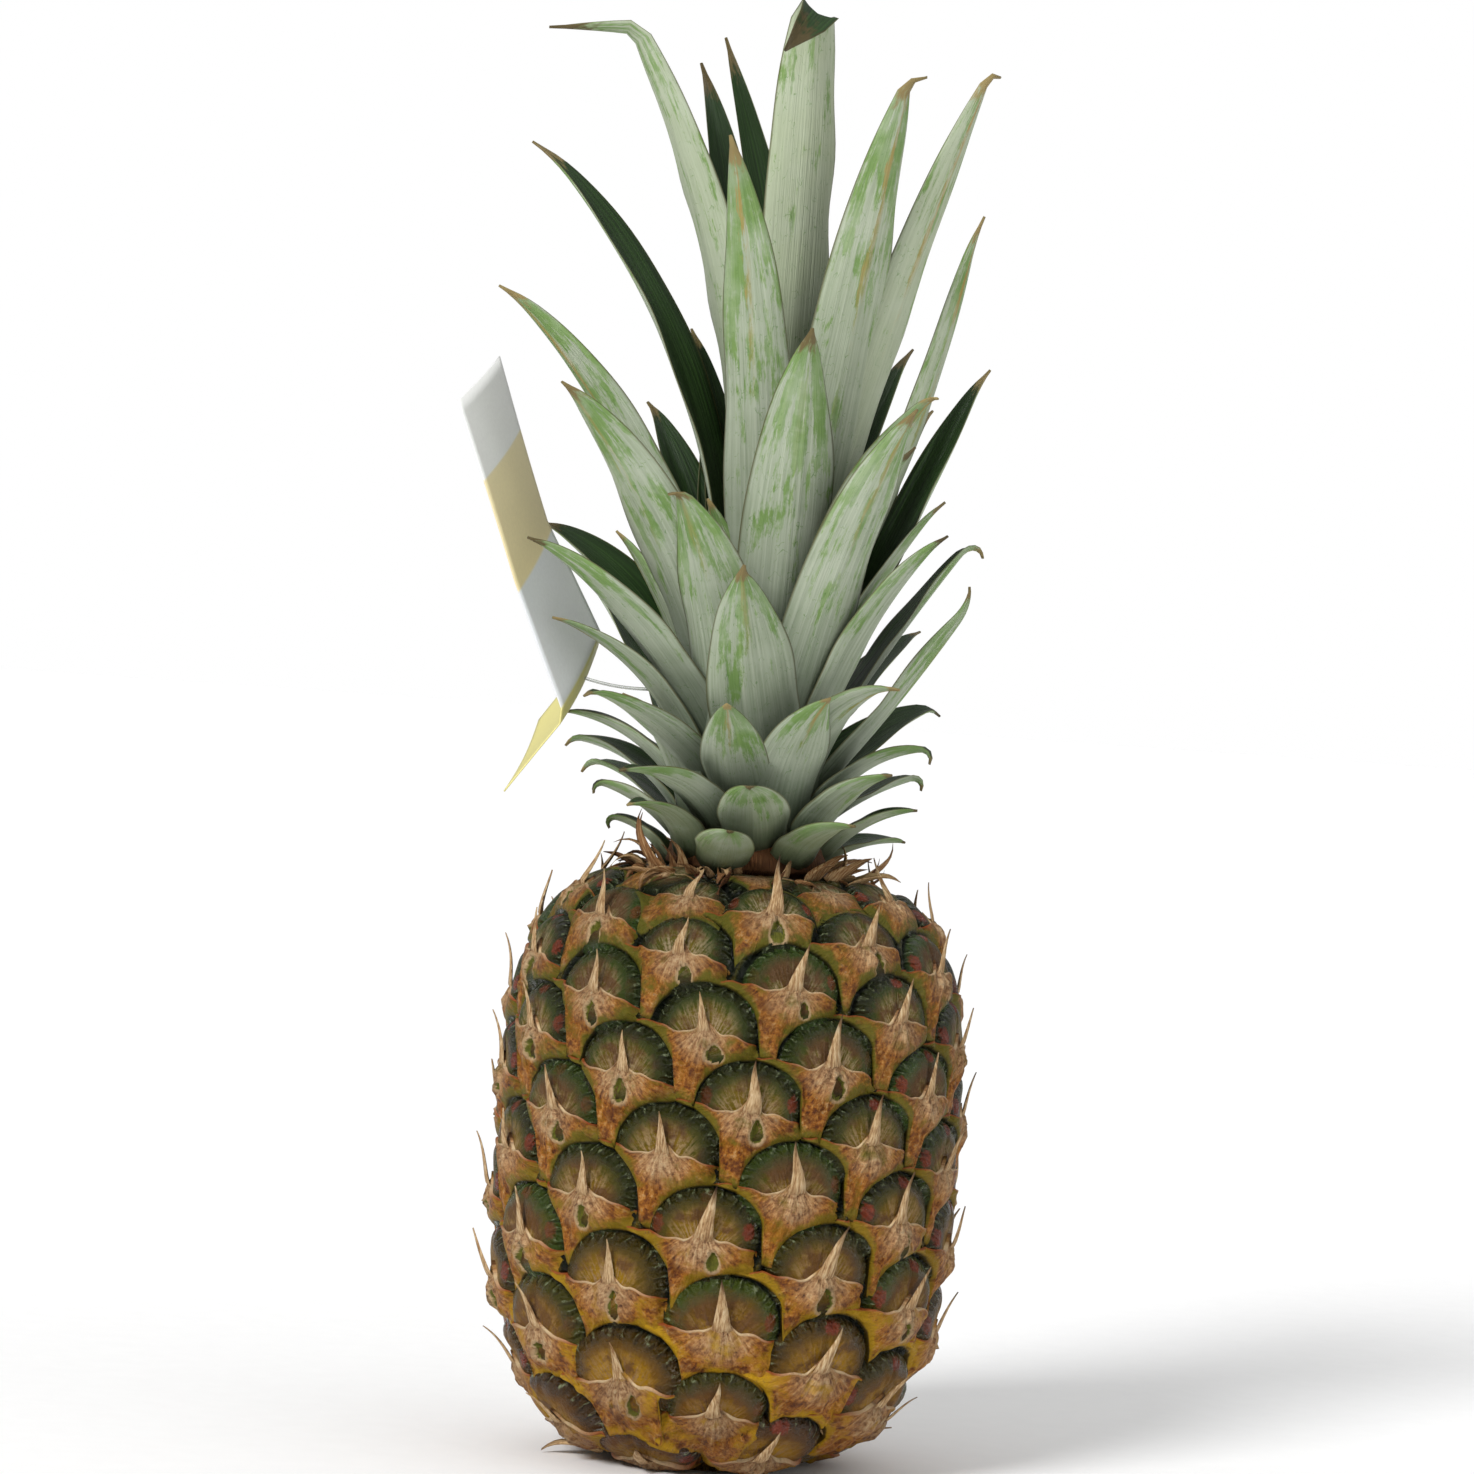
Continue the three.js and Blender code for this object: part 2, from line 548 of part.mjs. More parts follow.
/** Cross-section of a leaf at t along it: its outer face from left to right, then its inner face back. */
function leafSection(leaf, line, t) {
  const { ahead, across, outer } = leafFrame(leaf, t);
  const centre = line[Math.round(t * MIDLINE_STEPS)].clone();
  if (t === 0) centre.addScaledVector(ahead, -LEAF_SPAN.roots);
  const bow = leafBow(t);
  const radius = Math.max((leaf.width / 2) * leafOutline(t), LEAF_TIP_HALF) / Math.sin(bow);
  const place = (u, face) => {
    const thick = Math.abs(u) === 1 ? LEAF_THICK.edge : mix(LEAF_THICK.root, LEAF_THICK.tip, t);
    const normal = outer.clone().multiplyScalar(Math.cos(u * bow));
    normal.addScaledVector(across, Math.sin(u * bow));
    const reach = radius + (face * thick) / 2;
    return centre.clone().addScaledVector(outer, -radius).addScaledVector(normal, reach);
  };
  return [...ACROSS.map((u) => place(u, 1)), ...ACROSS.toReversed().map((u) => place(u, -1))];
}

/** A strip-like solid skinned over cross-sections, each a front face and then the back face reversed. */
function skinned(sections) {
  const surface = new Surface();
  const rings = sections.map((section) => section.map((point) => surface.add(point)));
  for (let i = 1; i < rings.length; i++) surface.band(rings[i - 1], rings[i]);
  const cap = (ring) => {
    for (let i = 1; i < ring.length / 2; i++) {
      const [a, b, c, d] = [ring[i - 1], ring[i], ring[ring.length - 1 - i], ring[ring.length - i]];
      surface.faces.push([a, b, c], [a, c, d]);
    }
  };
  cap(rings.at(-1));
  const tops = surface.faces.length;
  cap(rings[0]);
  surface.faces.slice(tops).forEach((face) => face.reverse());
  return solidOf(surface.geometry());
}

/** One leaf as a solid. */
function leafSolid(n) {
  const leaf = leafBuild(n);
  const line = leafMidline(leaf);
  const cuts = leaf.length < SHORT_LEAF ? SHORT_CUTS : LONG_CUTS;
  return skinned(cuts.map((t) => leafSection(leaf, line, t)));
}

/** The short stem that the leaves grow from. */
function stemSolid() {
  const { height, top, foot, flare } = STEM;
  const outline = [
    [0, 0], [SEAT_RADIUS - GAP, 0], [SEAT_RADIUS - GAP, SEAT_DEPTH], [foot, flare],
    [STEM_WAIST.radius, STEM_WAIST.share * height], [STEM_NECK.radius, STEM_NECK.share * height],
    [top, height], [0, height],
  ].map(([r, z]) => new THREE.Vector2(r, z));
  const stem = new THREE.LatheGeometry(outline, RING_SIDES);
  return solidOf(stem.rotateX(Math.PI / 2).translate(0, 0, SEAT_HEIGHT + GAP));
}

/** The folded paper tag, before the hole for its pin. */
function tagSolid() {
  const edges = TAG_EDGES.map((pair) => pair.map((point) => new THREE.Vector3(...point)));
  const sections = edges.map(([near, far], i) => {
    const before = edges[Math.max(i - 1, 0)];
    const after = edges[Math.min(i + 1, edges.length - 1)];
    const ahead = after[0].clone().sub(before[0]).add(after[1]).sub(before[1]);
    const half = far.clone().sub(near).cross(ahead).setLength(TAG_THICK / 2);
    return [near.clone().add(half), far.clone().add(half), far.clone().sub(half), near.clone().sub(half)];
  });
  return skinned(sections);
}

/** The pin, or with a larger radius the hole that it runs through. */
function pinSolid(radius) {
  const [from, to] = [new THREE.Vector3(...PIN_THROUGH_TAG), new THREE.Vector3(...PIN_THROUGH_LEAF)];
  const ahead = to.clone().sub(from).normalize();
  from.addScaledVector(ahead, -PIN.reach);
  to.addScaledVector(ahead, PIN.reach);
  const rod = (a, b) => {
    const length = a.distanceTo(b);
    const made = new THREE.CylinderGeometry(radius, radius, length, PIN.sides);
    const along = b.clone().sub(a).normalize();
    const turn = new THREE.Quaternion().setFromUnitVectors(new THREE.Vector3(0, 1, 0), along);
    const middle = a.clone().add(b).multiplyScalar(0.5);
    return solidOf(made.applyQuaternion(turn).translate(...middle));
  };
  const bars = [from, to].map((end) => {
    const half = new THREE.Vector3(0, 0, PIN.bar / 2);
    return rod(end.clone().sub(half), end.clone().add(half));
  });
  return wasm.Manifold.union([rod(from, to), ...bars]);
}

/** A solid less a neighbour, with a narrow gap all round the neighbour. */
function clearOf(solid, neighbour) {
  const moves = [[GAP, 0, 0], [-GAP, 0, 0], [0, GAP, 0], [0, -GAP, 0], [0, 0, GAP]];
  return moves.reduce((rest, move) => rest.subtract(neighbour.translate(move)), solid);
}

/** A named mesh with a matt material of one colour. */
function node(name, geometry, color, roughness) {
  const mesh = new THREE.Mesh(geometry, new THREE.MeshStandardMaterial({ color, roughness, metalness: 0 }));
  mesh.name = name;
  return mesh;
}

const fruit = fruitGeometry();
const leaves = Array.from({ length: LEAVES }, (_, n) => leafSolid(n));
const hole = pinSolid(PIN.hole);
const crown = clearOf(wasm.Manifold.union([stemSolid(), ...leaves]), solidOf(fruit)).subtract(hole);

const pineapple = new THREE.Group();
pineapple.add(node("fruit", fruit, 0x7a5a2c, 0.6));
pineapple.add(node("crown", geometryOf(crown), 0x8c9e84, 0.7));
pineapple.add(node("hang_tag", geometryOf(tagSolid().subtract(hole)), 0xe8e2c8, 0.6));
pineapple.add(node("tag_pin", geometryOf(pinSolid(PIN.radius)), 0xe4e6e2, 0.3));

export default pineapple;
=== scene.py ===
"""Visual model of a whole pineapple with a plain paper tag in its crown.

Sizes are in millimetres, and a mesh is turned to metres when it is made. +Z is up and the front looks
towards -Y. A turn is an angle in degrees about the axis, from the front towards +X.
"""

from __future__ import annotations

import logging
import math
from dataclasses import dataclass, field
from enum import Enum
from functools import cached_property
from typing import Any, ClassVar, Iterable, Sequence

import bpy
import numpy as np
from mathutils import Matrix, Vector, noise


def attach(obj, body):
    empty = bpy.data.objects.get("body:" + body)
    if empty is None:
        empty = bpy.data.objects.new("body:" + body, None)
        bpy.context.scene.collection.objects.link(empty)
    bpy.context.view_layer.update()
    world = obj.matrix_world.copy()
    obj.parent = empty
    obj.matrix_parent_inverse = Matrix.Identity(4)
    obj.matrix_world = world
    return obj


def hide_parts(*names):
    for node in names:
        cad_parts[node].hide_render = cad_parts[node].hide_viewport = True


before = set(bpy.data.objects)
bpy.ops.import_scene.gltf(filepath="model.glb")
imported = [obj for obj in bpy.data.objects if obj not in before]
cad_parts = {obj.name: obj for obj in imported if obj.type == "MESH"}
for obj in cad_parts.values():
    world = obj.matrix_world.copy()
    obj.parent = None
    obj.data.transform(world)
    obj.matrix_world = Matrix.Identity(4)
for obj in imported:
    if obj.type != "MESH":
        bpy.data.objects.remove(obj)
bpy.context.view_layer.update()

LOG = logging.getLogger("pineapple")
MM = 0.001
TAU = 2 * math.pi
GOLDEN_ANGLE = 137.508
GOLDEN_SHARE = 0.618034
# How far along its patterns one fruitlet is from another whose chance is larger by 1.
OWN_PATTERN = 173.0

Socket = bpy.types.NodeSocket
Array = np.ndarray


class Slot(Enum):
    """Material slots, by name."""

    RIND = "rind"
    LEAF = "leaf"
    PAPER = "tag_paper"
    PLASTIC = "clear_plastic"


def linear(colour: str) -> tuple[float, float, float, float]:
    """Turns an sRGB hex colour to linear.

    Args:
        colour: Six hex digits.

    Returns:
        Linear red, green and blue, and an alpha of 1.
    """
    parts = [int(colour[i : i + 2], 16) / 255 for i in (0, 2, 4)]
    red, green, blue = (p / 12.92 if p <= 0.04045 else ((p + 0.055) / 1.055) ** 2.4 for p in parts)
    return red, green, blue, 1.0


def smooth(low: float, high: float, value: Array | float) -> Any:
    """Smooth step from 0 at low to 1 at high."""
    share = np.clip((value - low) / (high - low), 0, 1)
    return share * share * (3 - 2 * share)


def mix(a: Any, b: Any, share: Any) -> Any:
    """Straight mix of a and b."""
    return a + (b - a) * share


def turn_between(start: Any, end: Any) -> Any:
    """The shortest turn in degrees from start to end."""
    return (end - start + 180) % 360 - 180


def wander(points: Array, size: float, seed: float) -> Array:
    """Smooth noise from -1 to 1 at points in millimetres.

    Args:
        points: Rows of x, y and z.
        size: Distance over which the noise changes.
        seed: Offset that makes one field differ from another.

    Returns:
        One value for each point.
    """
    shift = Vector((seed, seed * 1.7, -seed))
    return np.array([noise.noise(Vector(p) / size + shift) for p in points])


class Tree:
    """A node tree under construction, of a material or of geometry."""

    prefix = "ShaderNode"

    def __init__(self, nodes: bpy.types.NodeTree) -> None:
        """Starts with the tree emptied."""
        self.tree = nodes
        self.tree.nodes.clear()

    def add(self, kind: str, values: Any = (), out: Any = 0, **settings: Any) -> Any:
        """Adds a node with its settings and links.

        Args:
            kind: Type of the node, without the prefix that most in the tree share.
            values: Values or sockets, by place in a list or by name or number in a dict. A colour is its hex
                digits, and a list inside joins several sockets to one.
            out: Name or number of the output that is wanted, or None for the node itself.
            **settings: Properties of the node; stops are the places and hex colours of a ramp.

        Returns:
            The output socket, or the node.
        """
        node = self.tree.nodes.new(kind if "Node" in kind else self.prefix + kind)
        for name, value in settings.items():
            if name == "stops":
                self._ramp(node.color_ramp, value)
            else:
                setattr(node, name, value)
        pairs = values.items() if isinstance(values, dict) else enumerate(values)
        for key, value in pairs:
            socket = node.inputs[key]
            for one in value if isinstance(value, list) else [value]:
                if isinstance(one, Socket):
                    self.tree.links.new(one, socket)
                else:
                    socket.default_value = linear(one) if socket.type == "RGBA" else one
        return node if out is None or not node.outputs else node.outputs[out]

    @staticmethod
    def _ramp(ramp: bpy.types.ColorRamp, stops: Sequence[tuple[float, str]]) -> None:
        """Sets the stops of a colour ramp.

        Args:
            ramp: The ramp.
            stops: Place and hex colour of each.
        """
        while len(ramp.elements) < len(stops):
            ramp.elements.new(1.0)
        for element, (place, colour) in zip(ramp.elements, stops):
            element.position = place
            element.color = linear(colour)


def linked(name: str, data: bpy.types.ID) -> bpy.types.Object:
    """Makes an object in the scene.

    Args:
        name: Its name.
        data: Its mesh, camera or light.

    Returns:
        The object.
    """
    made = bpy.data.objects.new(name, data)
    bpy.context.scene.collection.objects.link(made)
    return made


class Recipe(Tree):
    """A Geometry Nodes tree with named inputs, whose result is kept as a plain mesh."""

    prefix = "GeometryNode"

    def __init__(self, name: str, **inputs: str) -> None:
        """Starts the tree with its inputs.

        Args:
            name: Name of the tree.
            **inputs: Kind of socket of each input, by name.
        """
        super().__init__(bpy.data.node_groups.new(name, "GeometryNodeTree"))
        new = self.tree.interface.new_socket
        self.keys = {
            key: new(name=key, in_out="INPUT", socket_type="NodeSocket" + kind).identifier
            for key, kind in inputs.items()
        }
        new(name="Geometry", in_out="OUTPUT", socket_type="NodeSocketGeometry")
        self.given = self.add("NodeGroupInput", out=None).outputs

    def end(self, geometry: Socket) -> None:
        """Ends the tree with real geometry that wears its finish.

        Args:
            geometry: The geometry to end with.
        """
        real = self.add("RealizeInstances", {"Geometry": geometry})
        dressed = self.add("SetMaterial", {"Geometry": real, "Material": self.given["Finish"]})
        self.add("NodeGroupOutput", [dressed])

    def result(self, name: str, mesh: bpy.types.Mesh, **values: Any) -> bpy.types.Mesh:
        """Works the tree out.

        Args:
            name: Name of the result.
            mesh: The mesh that the tree starts from.
            **values: Values of the inputs, by name.

        Returns:
            The result as a plain mesh.
        """
        seat = linked(name + "_seat", mesh)
        modifier = seat.modifiers.new("recipe", "NODES")
        modifier.node_group = self.tree
        for key, value in values.items():
            modifier[self.keys[key]] = value
        graph = bpy.context.evaluated_depsgraph_get()
        plain = bpy.data.meshes.new_from_object(seat.evaluated_get(graph))
        plain.name = name
        seat.modifiers.clear()
        bpy.data.objects.remove(seat)
        return plain


@dataclass
class Piece:
    """A mesh under construction: points in millimetres, faces and named values on the points."""

    points: list[Array] = field(default_factory=list)
    faces: list[tuple[int, ...]] = field(default_factory=list)
    values: dict[str, list[Array]] = field(default_factory=dict)
    count: int = 0

    def grid(self, rows: Array, closed: bool = False, flip: bool = False, **values: Array) -> int:
        """Adds a grid of points with faces between its rows.

        Args:
            rows: Points by row and column.
            closed: Whether the last column meets the first one.
            flip: Whether the faces look the other way.
            **values: Named values with three numbers for each point.

        Returns:
            The number of the first point.
        """
        height, width, _ = rows.shape
        start = self.count
        numbers = np.arange(height * width).reshape(height, width) + start
        nexts = np.roll(numbers, -1, axis=1) if closed else numbers[:, 1:]
        here = numbers if closed else numbers[:, :-1]
        quads = np.stack([here[:-1], nexts[:-1], nexts[1:], here[1:]], axis=-1).reshape(-1, 4)
        if flip:
            quads = quads[:, ::-1]
        self.faces.extend(map(tuple, quads.tolist()))
        self.points.append(rows.reshape(-1, 3))
        self.count += height * width
        for name, value in values.items():
            self.values.setdefault(name, []).append(value.reshape(-1, 3))
        return start

    def shell(self, front: Array, back: Array, flip: bool = False, **values: tuple[Array, Array]) -> None:
        """Adds a closed shell of two grids of one size, with a face over each end.

        Args:
            front: Points of the outer side, by row and column.
            back: Points of the inner side.
            flip: Whether the faces look the other way.
            **values: Named values of the outer and of the inner side, with three numbers for each point.
        """
        rows = np.concatenate([front, back[:, ::-1]], axis=1)
        joined = {name: np.concatenate([outer, inner[:, ::-1]], 1) for name, (outer, inner) in values.items()}
        start = self.grid(rows, closed=True, flip=flip, **joined)
        height, width, _ = rows.shape
        last = start + (height - 1) * width
        for first, turned in ((start, not flip), (last, flip)):
            face = tuple(range(first, first + width))
            self.faces.append(face[::-1] if turned else face)

    def mesh(self, name: str) -> bpy.types.Mesh:
        """Makes the mesh, in metres, with its named values on its points or its faces' corners.

        Args:
            name: Name of the mesh.

        Returns:
            The mesh.
        """
        mesh = bpy.data.meshes.new(name)
        mesh.from_pydata((np.concatenate(self.points) * MM).tolist(), [], self.faces)
        mesh.update()
        for key, parts in self.values.items():
            values = np.concatenate(parts).astype(np.float32)
            domain = "POINT" if len(values) == len(mesh.vertices) else "CORNER"
            layer = mesh.attributes.new(key, "FLOAT_VECTOR", domain)
            layer.data.foreach_set("vector", values.ravel())
        mesh.polygons.foreach_set("use_smooth", [True] * len(mesh.polygons))
        return mesh

    def made(self, name: str, material: bpy.types.Material, slot: Slot, *nodes: str) -> bpy.types.Object:
        """Makes the object, in metres.

        Args:
            name: Name of the piece.
            material: Its finish.
            slot: Its material slot; not used.
            *nodes: CAD nodes that it stands for.

        Returns:
            The finished piece, on the body root.
        """
        return finished(self.mesh(name), name, material, slot, *nodes)


def finished(
    mesh: bpy.types.Mesh, name: str, material: bpy.types.Material, slot: Slot, *nodes: str
) -> bpy.types.Object:
    """Puts a finished mesh in the scene as a piece on the body root.

    Args:
        mesh: The mesh, in metres and in place.
        name: Name of the piece.
        material: Its finish.
        slot: Its material slot; not used.
        *nodes: CAD nodes that it stands for.

    Returns:
        The piece.
    """
    if not mesh.materials:
        mesh.materials.append(material)
    piece = linked(name, mesh)
    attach(piece, "root")
    if nodes:
        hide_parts(*nodes)
    triangles = sum(len(p.vertices) - 2 for p in mesh.polygons)
    LOG.info("%s: %d triangles", name, triangles)
    return piece


@dataclass(frozen=True)
class Barrel:
    """Shape of the fruit under its relief: two superellipse halves that meet at the widest height."""

    radius: float = 57.5
    widest: float = 85.0
    upper_height: float = 72.0
    upper_power: float = 3.5
    lower_height: float = 83.0
    lower_power: float = 3.0
    steps: int = 1600
    foot_radius: float = 20.0
    neck_radius: float = 19.5

    @cached_property
    def profile(self) -> tuple[Array, Array, Array]:
        """Follows the outline from the bottom pole to the top one.

        Returns:
            Arc length, radius and height at each step.
        """
        t = math.pi * (np.arange(self.steps + 1) / self.steps - 0.5)
        power = np.where(t < 0, self.lower_power, self.upper_power)
        height = np.where(t < 0, self.lower_height, self.upper_height)
        r = self.radius * np.abs(np.cos(t)) ** (2 / power)
        z = self.widest + height * np.sign(t) * np.abs(np.sin(t)) ** (2 / power)
        s = np.concatenate([[0.0], np.cumsum(np.hypot(np.diff(r), np.diff(z)))])
        return s, r, z

    @cached_property
    def foot_arc(self) -> float:
        """Arc length at the rim of the flat spot."""
        s, r, _ = self.profile
        return float(s[np.argmax(r >= self.foot_radius)])

    @cached_property
    def neck_arc(self) -> float:
        """Arc length at the rim of the crown's seat."""
        s, r, z = self.profile
        return float(s[np.argmax((z > self.widest) & (r <= self.neck_radius))])

    def radius_at(self, s: Any) -> Any:
        """Radius at an arc length."""
        arc, r, _ = self.profile
        return np.interp(s, arc, r)

    def over(self, turn: Any, s: Any, rise: Any) -> Array:
        """Points over the barrel.

        Args:
            turn: Turns in degrees.
            s: Arc lengths.
            rise: Distances out of the surface.

        Returns:
            Rows of x, y and z.
        """
        arc, r, z = self.profile
        step = 0.15
        out = (np.interp(s + step, arc, z) - np.interp(s - step, arc, z)) / (2 * step)
        up = (np.interp(s - step, arc, r) - np.interp(s + step, arc, r)) / (2 * step)
        reach = np.interp(s, arc, r) + out * rise
        angle = np.radians(turn)
        height = np.interp(s, arc, z) + up * rise
        return np.stack(np.broadcast_arrays(reach * np.sin(angle), -reach * np.cos(angle), height), axis=-1)

    def lean_at(self, s: float) -> float:
        """Angle in radians from the horizontal up to the outward direction at an arc length.

        Args:
            s: The arc length.

        Returns:
            The angle.
        """
        arc, r, z = self.profile
        step = 1.5
        out = np.interp(s + step, arc, z) - np.interp(s - step, arc, z)
        up = np.interp(s - step, arc, r) - np.interp(s + step, arc, r)
        return math.atan2(up, out)


@dataclass(frozen=True)
class Fruitlet:
    """One fruitlet of the rind: its number on the spiral, its place and its size."""

    number: int
    turn: float
    s: float
    radius: float
    scale: float
    fade: float
    share: float
    chance: float


@dataclass(frozen=True)
class Spiral:
    """Spiral of fruitlets on the barrel, numbered upwards, with number 0 high on the front."""

    barrel: Barrel
    first: int = -69
    last: int = 36
    area: float = 510.0
    area_loss: float = 2.63
    first_arc: float = 151.1
    first_turn: float = -7.9
    divergence: float = 137.585
    bend: float = 0.00954
    twist: float = 0.000227
    bent_from: float = -60.0
    bent_to: float = 29.0
    least_row_radius: float = 22.0
    left_step: int = 5
    right_step: int = 8
    fade_from: int = 20
    faded: float = 0.3

    def turn_of(self, n: int) -> float:
        """Turn of fruitlet n.

        Args:
            n: Its number.

        Returns:
            The turn in degrees, straight on past both ends of the bent part.
        """
        at = min(max(n, self.bent_from), self.bent_to)
        turn = self.divergence * at + self.bend * at**2 + self.twist * at**3
        slope = self.divergence + 2 * self.bend * at + 3 * self.twist * at**2
        return self.first_turn + turn + slope * (n - at)

    @cached_property
    def places(self) -> dict[int, tuple[float, float]]:
        """Sets out the places, with those next to the fruitlets at both ends.

        Returns:
            Turn and arc length by number.
        """
        reach = self.left_step + self.right_step
        found = {0: (self.turn_of(0), self.first_arc)}
        for way in (1, -1):
            last = (self.last if way > 0 else -self.first) + reach
            for i in range(1, last + 1):
                before = found[way * (i - 1)][1]
                row = TAU * max(float(self.barrel.radius_at(before)), self.least_row_radius)
                step = (self.area - self.area_loss * way * (i - 0.5)) / row
                found[way * i] = (self.turn_of(way * i), before + way * step)
        return found

    def _triangles(self) -> Iterable[tuple[int, int, int]]:
        """The triangles between neighbours, each as three numbers."""
        for n in range(self.first - self.left_step - self.right_step, self.last + 1):
            left, right = n + self.left_step, n + self.right_step
            top = left + self.right_step
            if self._apart(n, top) < self._apart(left, right):
                yield n, left, top
                yield n, right, top
            else:
                yield n, left, right
                yield left, right, top

    def _apart(self, a: int, b: int) -> float:
        """Distance between two places.

        Args:
            a: Number of the one.
            b: Number of the other.

        Returns:
            The distance.
        """
        (turn_a, s_a), (turn_b, s_b) = self.places[a], self.places[b]
        r = max(float(self.barrel.radius_at((s_a + s_b) / 2)), self.least_row_radius)
        return math.hypot(math.radians(turn_between(turn_a, turn_b)) * r, s_b - s_a)

    @cached_property
    def fruitlets(self) -> dict[int, Fruitlet]:
        """Gives each fruitlet the cell between the triangles' middles round it.

        Returns:
            The fruitlets by number, from the lowest one up.
        """
        corners: dict[int, list[tuple[float, float, float]]] = {}
        for three in self._triangles():
            (turn, _), *_ = places = [self.places[n] for n in three]
            turn += sum(turn_between(turn, p[0]) for p in places) / 3
            middle = sum(p[1] for p in places) / 3
            s = min(max(middle, self.barrel.foot_arc), self.barrel.neck_arc)
            for n in three:
                if self.first <= n <= self.last:
                    corners.setdefault(n, []).append((turn, s, middle))
        return {n: self._fruitlet(n, found) for n, found in sorted(corners.items())}

    def _fruitlet(self, n: int, corners: list[tuple[float, float, float]]) -> Fruitlet:
        """Fruitlet n, from the turn, arc length and unclamped arc length of its corners.

        Args:
            n: Its number.
            corners: Turn, arc length and unclamped arc length of each corner.

        Returns:
            The fruitlet.
        """
        first = self.places[n][0]
        turn = first + sum(turn_between(first, c[0]) for c in corners) / len(corners)
        s = sum(c[1] for c in corners) / len(corners)
        middle = sum(c[2] for c in corners) / len(corners)
        r = float(self.barrel.radius_at(s))
        flat = [(math.radians(turn_between(turn, c[0])) * r, c[2] - middle, c[1] - s) for c in corners]
        flat.sort(key=lambda p: math.atan2(p[1], p[0]))
        pairs = zip(flat, flat[1:] + flat[:1])
        area = abs(sum(a[0] * b[2] - b[0] * a[2] for a, b in pairs)) / 2
        high = min(max((n - self.fade_from) / (self.last - self.fade_from), 0), 1)
        share = (n - self.first) / (self.last - self.first)
        scale = math.sqrt(area / self.area)
        chance = n * GOLDEN_SHARE % 1
        return Fruitlet(n, turn, s, r, scale, mix(1, self.faded, high), share, chance)


